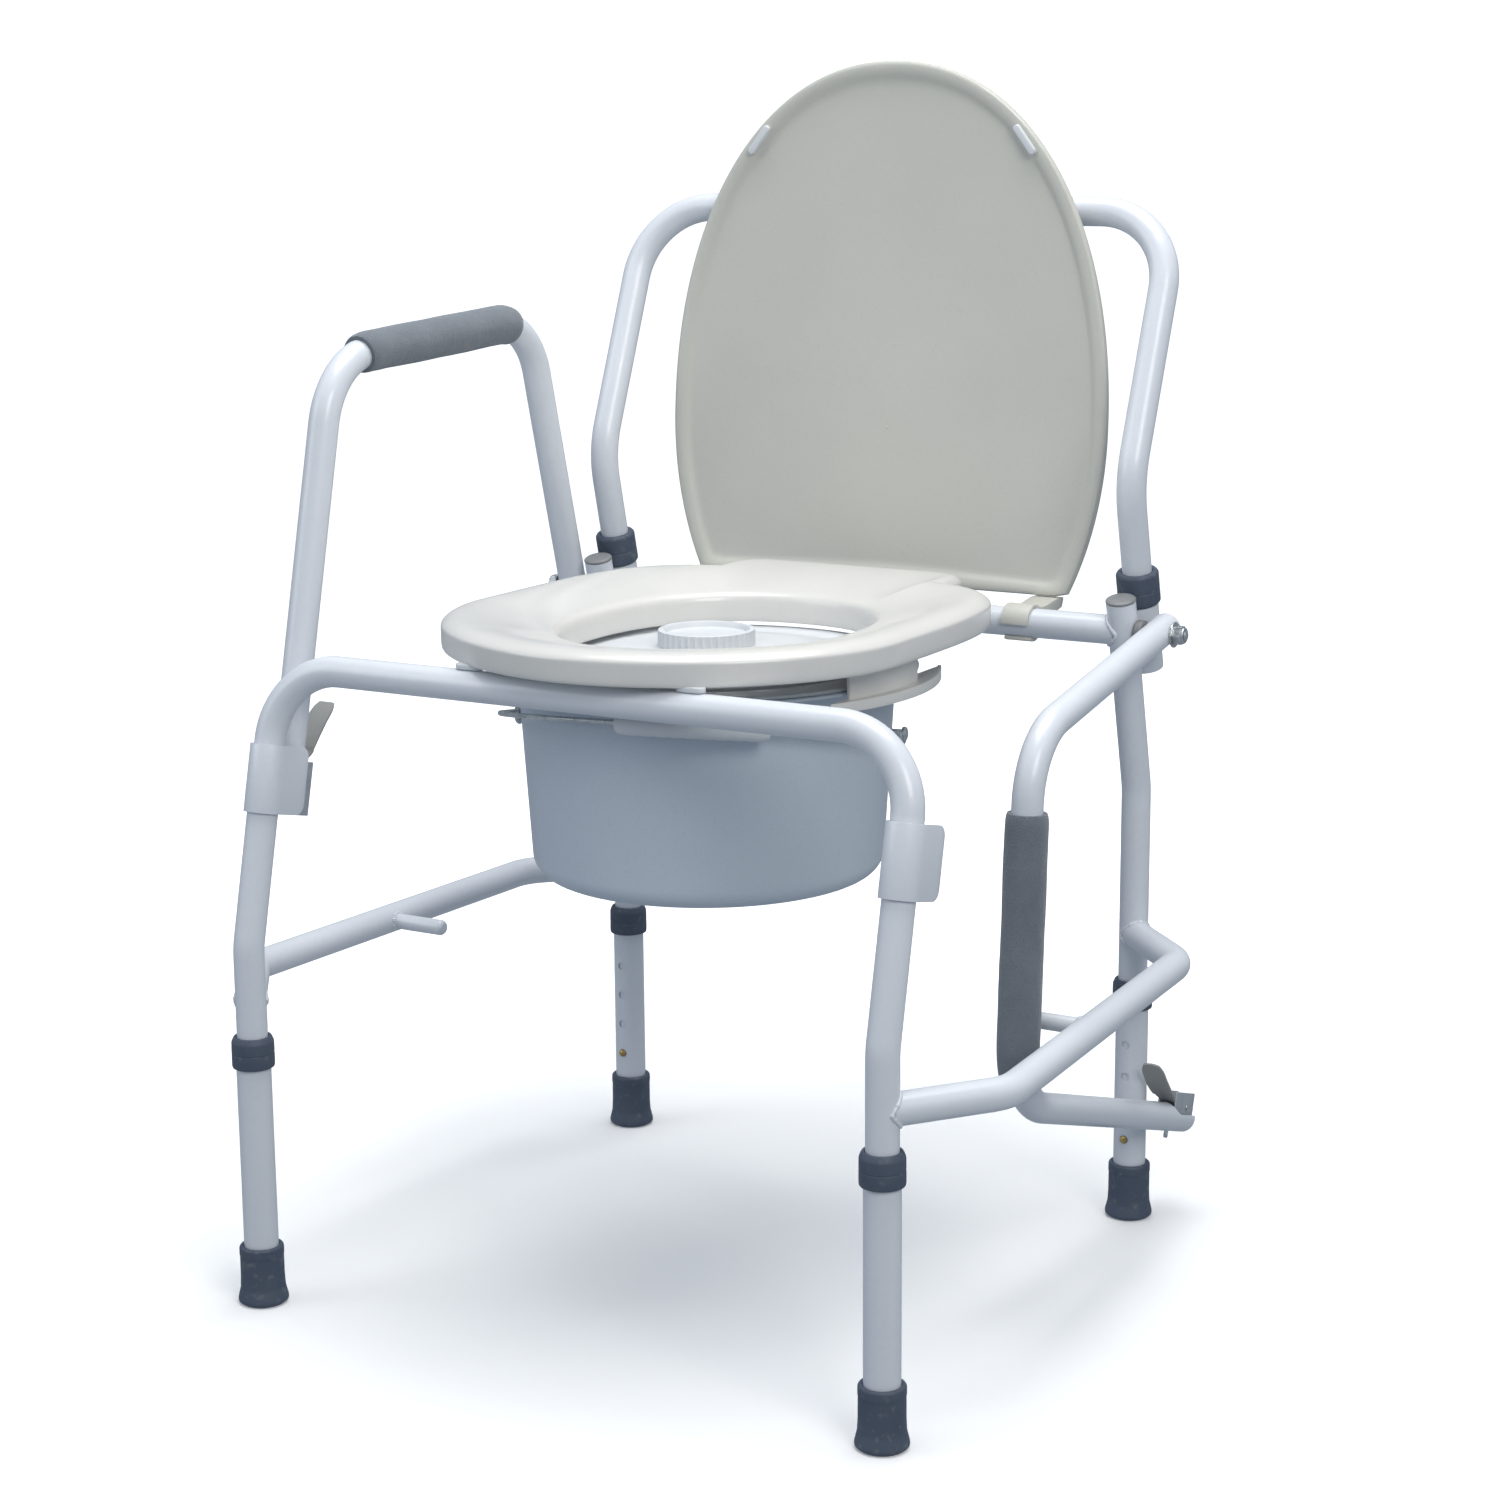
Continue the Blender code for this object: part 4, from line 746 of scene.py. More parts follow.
def arm_corners():
    def along(point, degrees, reach):
        turn = math.radians(degrees)
        return Vector((0, point.y + reach * math.cos(turn), point.z + reach * math.sin(turn)))

    pivot = Vector((0, post_y(Z_AXLE), Z_AXLE))
    rear = along(pivot, 105.0, 227.2 * MM)       # heading in degrees and length of each run
    front = along(rear, 182.64, 256.5 * MM)
    tip = along(front, 256.8, 326.4 * MM)
    return pivot, [along(pivot, 285.0, 15 * MM), rear, front, tip]


PIVOT, ARM_LINE = arm_corners()
ARM_PATH = fillet(ARM_LINE, [55 * MM, 62 * MM], 20)


def arm_offset(point, side):
    share = min(1.0, max(0.0, (point.y - ARM_LINE[2].y) / (PIVOT.y - ARM_LINE[2].y)))
    return Vector((side * (X_ARM_TIP + share * (X_ARM - X_ARM_TIP)), point.y, point.z))


def drop(obj, side):
    """Turns an arm piece about the pivot to where its armrest rests; the right one is dropped."""
    if side > 0:
        about = Matrix.Translation((0, PIVOT.y, PIVOT.z))
        moved(obj, about @ turned(ARM_DROP, "X") @ about.inverted())
    return obj


def latch_frame(side):
    """Local Z runs up the arm's front run from its tip, local Y points inwards."""
    tip = arm_offset(ARM_LINE[3], side)
    return tilt_frame(tip.x, tip.y, tip.z, (ARM_LINE[2] - ARM_LINE[3]).normalized())


def portion(path, start, length):
    out, gone = [], 0.0
    for a, b in zip(path, path[1:]):
        step = (b - a).length
        low, high = max(start, gone), min(start + length, gone + step)
        if low < high:
            if not out:
                out.append(a.lerp(b, (low - gone) / step))
            out.append(a.lerp(b, (high - gone) / step))
        gone += step
    return out


def resample(path, step):
    """Even steps along a path."""
    total = sum((b - a).length for a, b in zip(path, path[1:]))
    count = max(2, round(total / step))
    out, gone, i = [path[0]], 0.0, 0
    for k in range(1, count):
        want = total * k / count
        while gone + (path[i + 1] - path[i]).length < want:
            gone += (path[i + 1] - path[i]).length
            i += 1
        out.append(path[i].lerp(path[i + 1], (want - gone) / (path[i + 1] - path[i]).length))
    return out + [path[-1]]


def pin_hole(place, start):
    """Cutter for the latch pin's hole, from start inwards."""
    return rod("c", place @ Vector((0, start, Z_PIN)), place @ Vector((0, 0, Z_PIN)),
               2.0 * MM, 20, (1, 0, 0))


def arm(side):
    w = word(side)
    path = [arm_offset(p, side) for p in ARM_PATH]
    obj = tube(f"arm_tube_{w}_bent", path, R_TUBE, up=(1, 0, 0))
    place = latch_frame(side)
    corner, edge = 12 * MM, 3 * MM
    outline = mm((20, -5), (3, -5))
    for k in range(13):
        turn = math.radians(90 * k / 12)
        outline.append((edge + corner * (1 - math.cos(turn)),
                        41 * MM - corner + corner * math.sin(turn)))
    outline.append((20 * MM, 41 * MM))
    notch = prism("c", outline, 20 * MM, side_plane(place), 0)
    hole = pin_hole(place, -20 * MM)
    bore = rod("c", (side * X_ARM - 0.03, PIVOT.y, PIVOT.z),
               (side * X_ARM + 0.03, PIVOT.y, PIVOT.z), 4.2 * MM, 32)
    show(drop(cut(obj, notch, hole, bore), side), f"arm_tube_{w}")
    plug(side, path)
    pad(side)
    latch(side, place)
    pivot(side)


def plug(side, path):
    """The domed plug in the arm's pivot end."""
    up = (path[1] - path[0]).normalized()
    profile = mm((0, -3.2), (5, -2.8), (9, -1.6), (10.9, -0.3), (9.6, 0), (9.6, 4), (0, 4))
    obj = lathe(f"arm_plug_{word(side)}", round_profile(profile, 0.7 * MM), sides=40)
    show(drop(moved(obj, tilt_frame(*path[0], up)), side), f"arm_tube_{word(side)}",
         "cap_plastic", stands=False)


def pad(side):
    """Closed-cell foam sleeve, a little slack on its tube, with cut ends."""
    path = [arm_offset(p, side) for p in reversed(ARM_PATH)]
    stretch = resample(portion(path, PAD_START[side], PAD_LENGTH), 2 * MM)
    sides = 64
    count = len(stretch)
    outer = rings(stretch, 1.0, sides, (1, 0, 0))
    skins = []
    for i, ring in enumerate(outer):
        centre = stretch[i]
        end = min(i, count - 1 - i) * 2 * MM
        pull = 1.3 * MM * math.exp(-end / (3.2 * MM))
        skin = []
        for p in ring:
            ray = (p - centre).normalized()
            where = centre * 24 + ray * 0.9
            wave = noise.noise(where + Vector((side * 9, 0, 0))) * 0.55 * MM
            wave += noise.noise(where * 4.1) * 0.16 * MM
            skin.append(centre + ray * (R_PAD - 0.1 * MM - pull + wave))
        skins.append(skin)
    inner = rings(stretch, R_TUBE + 0.25 * MM, sides, (1, 0, 0))
    first = (stretch[1] - stretch[0]).normalized()
    last = (stretch[-1] - stretch[-2]).normalized()
    mouth = [stretch[0].lerp(p, 0.9) + first * 0.3 * MM for p in skins[0]]
    foot = [stretch[-1].lerp(p, 0.9) - last * 0.3 * MM for p in skins[-1]]
    around = skins + [foot] + inner[::-1] + [mouth]
    obj = loops(f"arm_pad_{word(side)}_foam", around, sides, closed=True, smooth=50)
    obj = show(drop(obj, side), f"arm_pad_{word(side)}")


Z_PIN = 30 * MM
LEVER = [(8.5, 9, 5.6), (8.5, 20, 5.6), (10, 29, 5.6), (13.5, 38, 5.8), (17, 45, 8.4),
         (22, 56, 9.3), (28.5, 67, 9.3), (35, 76, 8.8), (39, 81, 6.4)]


def latch(side, place):
    """The channel at the arm's lower end with its lever, pin and the lever's axle."""
    w = word(side)
    outline = mm((-7.5, -5), (7.5, -5), (7.5, 20), (6.1, 20), (6.1, -3.6), (-6.1, -3.6),
                 (-6.1, 20), (-7.5, 20))
    body = prism(f"latch_body_{w}_channel", outline, 19.5 * MM,
                 place @ Matrix.Translation((0, 0, 17.5 * MM)))
    body = cut(body, pin_hole(place, -8 * MM))
    show(drop(bevel(body, 0.4 * MM), side), f"latch_body_{w}")
    line = smooth_line(LEVER, 6)
    last = len(line) - 1
    out = []
    for i, p in enumerate(line):
        ahead = line[min(i + 1, last)] - line[max(i - 1, 0)]
        normal = Vector((-ahead.y, ahead.x)).normalized() * 0.9
        ring = []
        for sign, xs in ((-1, (-1, -0.5, 0, 0.5, 1)), (1, (1, 0.5, 0, -0.5, -1))):
            for x in xs:
                dish = 0.9 * x ** 2 if i > 24 else 0
                ring.append(place @ (Vector((x * p.z, p.x + sign * normal.x - dish,
                                             p.y + sign * normal.y)) * MM))
        out.append(ring)
    lever = bevel(loops(f"latch_lever_{w}_paddle", out, 10), 0.35 * MM, 2)
    show(drop(lever, side), f"latch_lever_{w}")
    profile = mm((0, 0), (1.3, 0), (1.7, 0.8), (1.7, 20.5), (0, 20.5))
    pin = lathe(f"latch_pin_{w}_rod", round_profile(profile, 0.4 * MM), sides=20)
    moved(pin, place @ Matrix.Translation((0, -16.5 * MM, Z_PIN)) @ turned(-90, "X"))
    show(drop(pin, side), f"latch_pin_{w}")
    profile = mm((0, -8.1), (2.4, -8.1), (2.4, -7.5), (1.4, -7.5), (1.4, 7.5), (2.4, 7.5),
                 (2.4, 8.1), (0, 8.1))
    rivet = lathe(f"latch_axle_{w}", round_profile(profile, 0.3 * MM), axis="X", sides=24)
    moved(rivet, place @ Matrix.Translation((0, 8.5 * MM, 12 * MM)))
    show(drop(rivet, side), f"latch_body_{w}", "zinc", stands=False)


def pivot(side):
    """Bolt, washer, six-sided nut and spacer of an armrest's pivot, all round the X axis."""
    w = word(side)
    start = X_REAR + 4 * MM
    inner = X_ARM + R_TUBE + 1.6 * MM
    end = inner + 9 * MM
    bore, pitch, flat = 4.15 * MM, 0.7 * MM, 6.5 * MM
    at = Matrix.Translation((0, PIVOT.y, Z_AXLE)) @ turned(0 if side > 0 else 180, "Z")
    turn = inner + 6.2 * MM
    profile = [(0, start), (4 * MM, start), (4 * MM, turn)]
    while turn < end - 0.8 * MM:
        profile += [(3.5 * MM, turn + pitch / 2), (4 * MM, turn + pitch)]
        turn += pitch
    profile += [(3.3 * MM, end), (0, end)]
    bolt = lathe(f"pivot_bolt_{w}_shank", profile, axis="X", sides=32)
    show(moved(bolt, at), f"pivot_bolt_{w}")
    profile = [(bore, inner - 1.3 * MM), (9.5 * MM, inner - 1.3 * MM), (9.5 * MM, inner),
               (bore, inner)]
    washer = lathe(f"pivot_washer_{w}", round_profile(profile, 0.3 * MM), axis="X", sides=48)
    show(moved(washer, at), f"pivot_nut_{w}", stands=False)
    steps = mm((7.6, 0.1), (7.6, 5.8), (6.6, 6.4), (5.9, 6.6), (5.9, 7.6), (5.4, 8))
    profile = [(bore, inner + 0.1 * MM)] + [(r, inner + h) for r, h in steps]
    profile += [(bore, inner + 8 * MM)]
    nut = lathe(f"pivot_nut_{w}_hex", round_profile(profile, 0.3 * MM), axis="X", sides=96)
    for v in nut.data.vertices:       # six flats with chamfered ends
        r = math.hypot(v.co.y, v.co.z)
        if r < 6.2 * MM:
            continue
        t = math.atan2(v.co.z, v.co.y) % (math.pi / 3) - math.pi / 6
        most = flat / math.cos(t)
        if r > most:
            v.co.y *= most / r
            v.co.z *= most / r
    shade(nut.data, 25)
    show(moved(nut, at), f"pivot_nut_{w}")
    inside = X_REAR + R_TUBE + 0.4 * MM
    outside = X_ARM - R_TUBE - 0.4 * MM
    profile = [(4.3 * MM, inside), (9 * MM, inside), (9 * MM, outside), (4.3 * MM, outside)]
    spacer = lathe(f"pivot_spacer_{w}", round_profile(profile, 0.4 * MM), axis="X", sides=40)
    show(moved(spacer, at), f"pivot_nut_{w}", "cap_plastic", stands=False)


# ------------------------------------------------------------------ seat and lid

def polar(inside, centre, angle):
    """How far an outline lies from its centre in one direction."""
    low, high = 0.0, 0.6
    for _ in range(36):
        half = (low + high) / 2
        if inside(centre[0] + half * math.cos(angle), centre[1] + half * math.sin(angle)):
            low = half
        else:
            high = half
    return low


SEAT_CENTRE = (0, 232 * MM)
TONGUE_HALF, TONGUE_BACK, SEAT_REAR = 98 * MM, 449 * MM, 407 * MM


def in_seat(x, y):
    if y < 175 * MM:
        depth, power = (175 * MM - y) / (157 * MM), 1.88
    else:
        depth, power = (y - 175 * MM) / (SEAT_REAR - 175 * MM), 4.2
    if abs(x / (175 * MM)) ** power + depth ** power <= 1:
        return True
    spread = (y - SEAT_REAR + 60 * MM) / (TONGUE_BACK - SEAT_REAR + 60 * MM)
    return y > 175 * MM and abs(x / TONGUE_HALF) ** 9 + spread ** 9 <= 1


def in_hole(x, y):
    return abs(x / (104 * MM)) ** 2.25 + abs((y - 232 * MM) / (126 * MM)) ** 2.25 <= 1


def seat():
    tongue_at = math.degrees(math.atan2(TONGUE_BACK - SEAT_CENTRE[1], TONGUE_HALF))
    root_at = math.degrees(math.atan2(SEAT_REAR - SEAT_CENTRE[1], TONGUE_HALF))
    angles = [2.0 * k for k in range(180)]
    for mark in (tongue_at, root_at):
        for step in (-1.4, -0.9, -0.5, -0.1, 0.3, 0.7, 1.1, 1.5):
            angles += [mark + step, 180 - mark - step]
    angles = sorted(set(round(a, 3) for a in angles))
    verts = []
    wide = 0
    for degrees in angles:
        turn = math.radians(degrees)
        inner = polar(in_hole, SEAT_CENTRE, turn)
        outer = polar(in_seat, SEAT_CENTRE, turn)
        low = skirt_edge(degrees, root_at)
        rows = [(0, 0, 466.2), (0, 0, 474), (0, 0.2, 482), (0, 1.6, 485.2), (0, 4.2, 487.4),
                (0, 8, 488.7), (0, 13, 489.9), (0.3, 0, 493.6), (0.55, 0, 496.4), (0.8, 0, 498.7),
                (1, -22, 500.0), (1, -15, 500.5), (1, -9, 499.9),
                (1, -5, 498.5), (1, -2.4, 496.8), (1, -1.1, 495.6), (1, -0.5, 494.9),
                (1, 0, 493.9), (1, 0, 492), (1, 0, 486)]
        rows = [(a, b * MM, c * MM) for a, b, c in rows]
        rows += [(1, 0, low + 2.6 * MM), (1, -0.7 * MM, low + 0.8 * MM), (1, -2.2 * MM, low)]
        rows += [(1, -5 * MM, low), (1, -6.2 * MM, low + 1 * MM), (1, -7 * MM, Z_SEAT_UNDER)]
        rows += [(0, 14 * MM, Z_SEAT_UNDER), (0, 4.4 * MM, 481.4 * MM), (0, 4 * MM, 478 * MM)]
        rows += [(0, 3.2 * MM, 466.1 * MM), (0, 1.6 * MM, 465.5 * MM)]
        wide = len(rows)
        for share, shift, z in rows:
            if 0 < share < 1:
                near, far = inner + 13 * MM, outer - 22 * MM
                reach = near + share * (far - near)
            else:
                reach = (outer if share else inner) + shift
            verts.append((SEAT_CENTRE[0] + reach * math.cos(turn),
                          SEAT_CENTRE[1] + reach * math.sin(turn), z))
    faces = []
    count = len(angles)
    for i in range(count):
        a, b = i * wide, (i + 1) % count * wide
        for k in range(wide):
            n = (k + 1) % wide
            faces.append((a + k, a + n, b + n, b + k))
    show(subdivide(make("seat_moulding", verts, faces)), "seat")
    for side in (-1, 1):
        bump = prism(f"seat_bumper_{word(side)}", oblong(6 * MM, 4.6 * MM, 5 * MM), 1.9 * MM,
                     Matrix.Translation((side * 88 * MM, 46.5 * MM, 477 * MM)))
        show(bevel(bump, 0.9 * MM), "seat", "pail_lid_plastic", stands=False)


def oblong(wide, deep, apart):
    """Outline of an oval whose two halves are drawn apart along the first axis."""
    turns = [2 * math.pi * (k + 0.5) / 32 for k in range(32)]
    return [(wide * math.cos(t) + math.copysign(apart, math.cos(t)), deep * math.sin(t))
            for t in turns]


def skirt_edge(degrees, root_at):
    """Height of the skirt's lower edge, which rises over the hinge tongue."""
    off = abs(degrees - 90) - (90 - root_at)
    share = min(1.0, max(0.0, (off + 1.0) / 2.0))
    return (481 + (477.5 - 481) * share) * MM


def in_lid(u, v):
    if v < 16 * MM:
        return False
    if v >= 143 * MM:
        return abs(u / (190 * MM)) ** 2.15 + ((v - 143 * MM) / (276 * MM)) ** 2.15 <= 1
    return abs(u / (190 * MM)) ** 2 + ((v - 143 * MM) / (243 * MM)) ** 2 <= 1


LID_LEAN = 3.4


def lid_frame():
    """Local Y runs up the lid from its hinge, local Z out of its face."""
    turn = math.radians(LID_LEAN)
    along = Vector((0, math.sin(turn), math.cos(turn)))
    out = Vector((0, -math.cos(turn), math.sin(turn)))
    matrix = Matrix((along.cross(out), along, out)).transposed().to_4x4()
    return Matrix.Translation((0, Y_AXLE, Z_AXLE)) @ matrix


def lid():
    face = -43 * MM
    centre = (0, 175 * MM)
    place = lid_frame()
    rows = [(62, -4.5), (40, -4.4), (19, -4.3), (15.5, -4.1), (13.2, -3.4), (11.2, -1.9),
            (9.2, -0.9), (6.5, -0.3), (3.4, 0), (1.6, -0.4), (0.5, -1.4), (0, -3), (0, -5.2),
            (0.8, -6.8), (2.8, -8.3), (7, -9.4), (12, -10), (30, -10.6), (60, -11)]
    count = 168
    verts = []
    for k in range(count):
        turn = 2 * math.pi * (k + 0.5) / count
        edge = polar(in_lid, centre, turn)
        for inset, w in rows:
            reach = edge - inset * MM
            verts.append(place @ Vector((centre[0] + reach * math.cos(turn),
                                         centre[1] + reach * math.sin(turn), face + w * MM)))
    wide = len(rows)
    faces = []
    for i in range(count):
        a, b = i * wide, (i + 1) % count * wide
        faces += [(a + k, a + k + 1, b + k + 1, b + k) for k in range(wide - 1)]
    faces.append(tuple(i * wide for i in range(count)))
    faces.append(tuple(i * wide + wide - 1 for i in reversed(range(count))))
    show(make("lid_moulding", verts, faces, 30), "lid")
    dot = lathe("lid_gate_mark", mm((0, 0.5), (0.9, 0.35), (1.5, 0), (1.5, -1), (0, -1)), sides=20)
    moved(dot, place @ Matrix.Translation((3 * MM, 138 * MM, face - 4.5 * MM)))
    show(dot, "lid", stands=False)
    for side in (-1, 1):
        at = place @ Matrix.Translation((side * 115 * MM, 359 * MM, face + 0.2 * MM))
        bumper = prism(f"lid_bumper_{word(side)}", oblong(3 * MM, 3 * MM, 10.5 * MM), 2.6 * MM,
                       at @ turned(38 * side + 90, "Z"))
        show(bevel(bumper, 1.3 * MM, 4), "lid", "pail_lid_plastic", stands=False)


# ------------------------------------------------------------------ pail

def pail():
    rim, foot, wall, corner = Z_PAIL_TOP, Z_PAIL_FOOT, 2.5 * MM, 16 * MM
    turns = [math.radians(90 - 88 * k / 12) for k in range(13)]
    heart = (R_PAIL_FOOT - corner, foot + corner)

    def bend(radius):
        return [(heart[0] + radius * math.cos(t), heart[1] - radius * math.sin(t)) for t in turns]

    profile = [(0, foot + 2 * MM), (heart[0] - 8 * MM, foot + 2 * MM), (heart[0] - 5 * MM, foot)]
    profile += bend(corner)
    edge = mm((-1.6, -16), (-0.3, -3), (0.6, -1.5), (14.3, -1.4), (15.5, -0.8), (15.5, 0.4),
              (14.7, 1), (-1, 1), (-2.5, -0.6))
    profile += [(R_PAIL_TOP + r, rim + h) for r, h in edge]
    profile += bend(corner - wall)[::-1]
    profile += [(heart[0] - 12 * MM, foot + 4.6 * MM), (0, foot + 4.6 * MM)]
    show(lathe("pail_bowl", profile, (0, Y_PAIL, 0), 144), "pail")
    pail_lid(Z_PAIL_TOP + 1.3 * MM)


def pail_lid(z):
    """A domed lid with a ribbed, hollow knob and a groove round its flat edge."""
    profile = mm((0, 20.4), (28, 20.4), (29.4, 20.8), (30, 21.8), (30.4, 24), (31.2, 24.8),
                 (33.4, 24.8), (34.6, 24.3), (35.2, 23), (35.2, 13), (36.4, 12.3), (60, 11.4),
                 (76, 9.8), (84, 8.2), (87.6, 6.4), (89.6, 4.2), (91.6, 2.8), (94.6, 2.4),
                 (120, 2.4), (121, 1.8), (124, 1.8), (125, 2.4), (148.8, 2.4), (150, 1.2),
                 (148.8, 0), (88, 0), (82, 6), (60, 8.9), (33, 9.9), (33, 17.9), (0, 17.9))
    obj = lathe("pail_lid_cover", [(r, z + h) for r, h in profile], (0, Y_PAIL, 0), 240)
    ribs, depth = 40, 1.5 * MM
    for v in obj.data.vertices:
        r = math.hypot(v.co.x, v.co.y - Y_PAIL)
        if 34.9 * MM < r < 35.4 * MM and v.co.z > z + 12.6 * MM:
            turn = math.atan2(v.co.y - Y_PAIL, v.co.x)
            rise = max(0.0, math.cos(turn * ribs)) ** 0.6
            grow = 1 - (1 - rise) * depth / r
            v.co.x *= grow
            v.co.y = Y_PAIL + (v.co.y - Y_PAIL) * grow
    show(obj, "pail_lid")


def arc_points(radius, front, back, side, steps=40):
    turns = [math.radians(front + (back - front) * k / steps) for k in range(steps + 1)]
    return [(side * radius * MM * math.cos(t), radius * MM * math.sin(t)) for t in turns]


def band(name, outer, inner, angles, side, half, z):
    """A curved bar round the pail's middle, between two radii in millimetres and two angles."""
    outline = arc_points(outer, *angles, side) + arc_points(inner, *angles, side)[::-1]
    return prism(name, outline, half, Matrix.Translation((0, Y_PAIL, z)))


def carrier_rails():
    """A curved shelf under the pail's rim, hung from the seat by a web."""
    shelf = Z_PAIL_TOP - 1.7 * MM
    top = Z_SEAT_UNDER - GAP
    reach = math.degrees(math.acos(146 / 166.7))
    for side in (-1, 1):
        name = f"pail_rail_{word(side)}"
        rail = prism(name + "_shelf", arc_points(166.7, -reach, reach, side), 1.3 * MM,
                     Matrix.Translation((0, Y_PAIL, shelf - 1.3 * MM)))
        others = [band("lip", 168, 165.5, (-29.5, 29.5), side, 3.5 * MM, shelf - 3.45 * MM),
                  band("web", 159.5, 156.8, (-22, 8), side, (top - shelf + 0.7 * MM) / 2,
                       (shelf + top - 3.1 * MM) / 2),
                  band("flange", 161.5, 146, (-23, 9), side, 1.2 * MM, top - 1.2 * MM)]
        combine(rail, others, "UNION")
        show(bevel(rail, 0.5 * MM, 2), name)


TURN, REST, REACH, Z_RIVET = math.radians(12.5), math.radians(11), 149 * MM, 415.5 * MM
ALONG = Vector((math.cos(TURN), math.sin(TURN), 0))


def handle_point(angle, radius=REACH):
    ahead = Vector((math.sin(TURN), -math.cos(TURN), 0))
    ahead = ahead * math.cos(REST) + Vector((0, 0, math.sin(REST)))
    return (Vector((0, Y_PAIL, Z_RIVET))
            + radius * (math.sin(angle) * ALONG + math.cos(angle) * ahead))


def handle():
    centre = Vector((0, Y_PAIL, Z_RIVET))
    flat = handle_point(0, 6.6 * MM) - centre
    down = ALONG.cross(flat)
    turns = [math.radians(200 - 215 * k / 24) for k in range(25)]
    eyes = [[centre + ALONG * end * (REACH - 4 * MM) + flat * math.cos(t) + down * math.sin(t)
             for t in turns] for end in (-1, 1)]
    arc = [handle_point(math.radians(a)) for a in range(-78, 79, 2)]
    route = eyes[0] + arc + eyes[1][::-1]
    show(tube("pail_handle_bail", route, 1.9 * MM, 0, 16, (0, 0, 1)), "pail_handle")
    line = [handle_point(math.radians(a)) for a in range(-6, 35)]
    outer = [8.5 * MM - 1.4 * MM * math.exp(-min(i, 40 - i) * 0.9) for i in range(41)]
    outer = [r - (0.35 * MM if i % 4 == 2 and 4 < i < 36 else 0) for i, r in enumerate(outer)]
    skin = rings(line, outer, 32, (0, 0, 1))
    core = rings(line, 2.5 * MM, 32, (0, 0, 1))
    show(loops("handle_grip_sleeve", skin + core[::-1], 32, closed=True), "handle_grip")
    profile = mm((0, 132.6), (3.2, 132.6), (3.2, 144.9), (5.0, 145.2), (5.2, 147), (4.4, 148),
                 (2.6, 148.7), (0, 148.9))
    for side in (-1, 1):
        rivet = lathe(f"handle_rivet_{word(side)}", profile, axis="X", sides=28)
        moved(rivet, Matrix.Translation(centre)
              @ Matrix.Rotation(TURN + (0 if side > 0 else math.pi), 4, "Z"))
        show(rivet, "pail", "zinc", stands=False)


# ------------------------------------------------------------------ build

frame_tubes()
for side in (-1, 1):
    catch_bracket(side)
    post_parts(side)
    arm(side)
backrest()
legs()
seat()
lid()
pail()
carrier_rails()
handle()

for name, node in frame["nodes"].items():
    if node.hide_render:
        continue
    node.data.materials.clear()
    node.data.materials.append(LOOK[SLOT_OF[name]])
    for poly in node.data.polygons:
        poly.use_smooth = True
    mod = node.modifiers.new("weld", "WELD")
    mod.merge_threshold = 0.00001
    mod = node.modifiers.new("edges", "BEVEL")
    mod.width = 0.4 * MM
    mod.segments = 2
    mod.limit_method = "ANGLE"
    mod.angle_limit = math.radians(35)


# ------------------------------------------------------------------ floor, light and camera

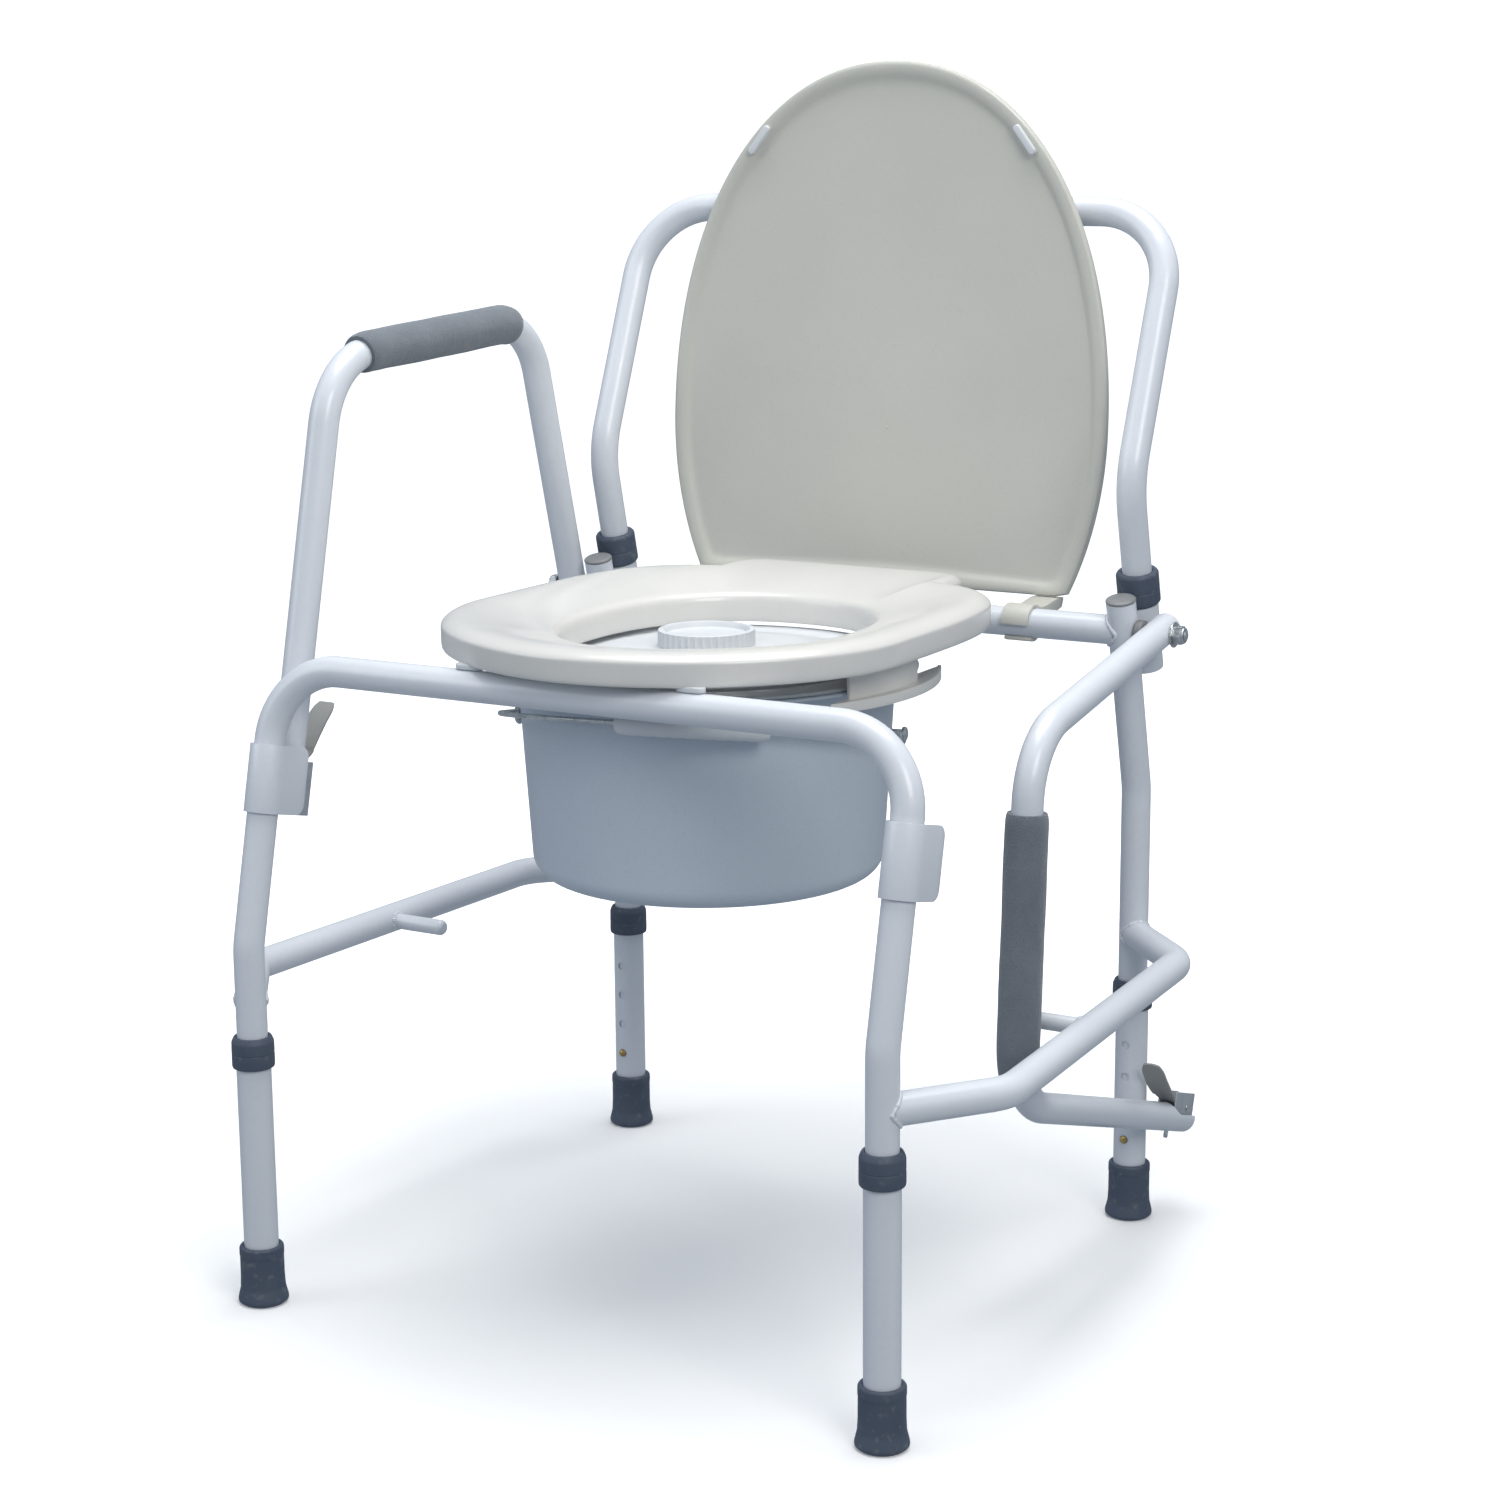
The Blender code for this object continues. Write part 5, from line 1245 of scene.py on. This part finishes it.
def floor():
    """A pale floor that runs up into a white wall all round; the wall lights nothing."""
    m = Nodes("floor", (0.93, 0.93, 0.93), 0.7, Emission_Color=(1, 1, 1, 1))
    m.tint(m.ramp(m.spot(3, 3), 0.3, 0.7), (0.92, 0.92, 0.925))
    away = m.node("VectorMath", operation="LENGTH")
    m.link(m.where, away.inputs[0])
    m.link(m.ramp(away.outputs["Value"], 0.3, 1.3, 0.12, 0.75), m.shader.inputs["Emission Strength"])
    flat, bend, height = 4.0, 1.5, 5.0
    rise = [(flat + bend * math.sin(t), bend - bend * math.cos(t))
            for t in (math.radians(90 * k / 12) for k in range(13))]
    ground = lathe("floor", [(0, 0), (flat, 0)], sides=96, closed=False)
    wall = lathe("backdrop", rise + [(flat + bend, height)], sides=96, closed=False)
    wall.visible_shadow = False
    for obj in (ground, wall):
        obj.data.materials.append(m.mat)
        obj.visible_diffuse = False
        obj.visible_glossy = False


def area(name, place, target, size, power, colour=(1, 1, 1)):
    light = bpy.data.lights.new(name, "AREA")
    light.shape = "RECTANGLE"
    light.size, light.size_y = size
    light.energy = power
    light.color = colour
    obj = bpy.data.objects.new(name, light)
    bpy.context.scene.collection.objects.link(obj)
    obj.location = place
    obj.rotation_euler = (Vector(target) - Vector(place)).to_track_quat("-Z", "Y").to_euler()
    obj.visible_camera = False
    return obj


def camera():
    az, el, roll = math.radians(30.007), math.radians(12.066), math.radians(-0.458)
    back = Vector((math.sin(az) * math.cos(el), -math.cos(az) * math.cos(el), math.sin(el)))
    right = Vector((math.cos(az), math.sin(az), 0))
    up = back.cross(right)
    across = math.cos(roll) * right + math.sin(roll) * up
    upward = -math.sin(roll) * right + math.cos(roll) * up
    data = bpy.data.cameras.new("camera")
    data.sensor_width = 36.0
    data.lens = 72.65
    data.clip_start = 0.05
    data.clip_end = 50
    obj = bpy.data.objects.new("camera", data)
    bpy.context.scene.collection.objects.link(obj)
    turn = Matrix((across, upward, back)).transposed().to_4x4()
    obj.matrix_world = Matrix.Translation((1.0951, -1.6203 + Y0, 0.8521)) @ turn
    bpy.context.scene.camera = obj


def world():
    made = bpy.data.worlds.new("world")
    bpy.context.scene.world = made
    made.use_nodes = True
    back = made.node_tree.nodes["Background"]
    back.inputs["Color"].default_value = (0.76, 0.87, 1.0, 1)
    back.inputs["Strength"].default_value = 0.37


floor()
camera()
world()
area("key", (2.3, -1.6, 2.2), (0, 0, 0.4), (1.4, 1.4), 36, (1.0, 0.98, 0.94))
area("fill", (-2.2, -2.0, 1.7), (0, 0, 0.4), (1.6, 1.6), 17, (0.92, 0.96, 1.0))
area("top", (0.1, 0.2, 3.0), (0, 0, 0.3), (2.0, 2.0), 64)
bpy.context.scene.view_settings.view_transform = "Standard"
bpy.context.scene.view_settings.look = "None"
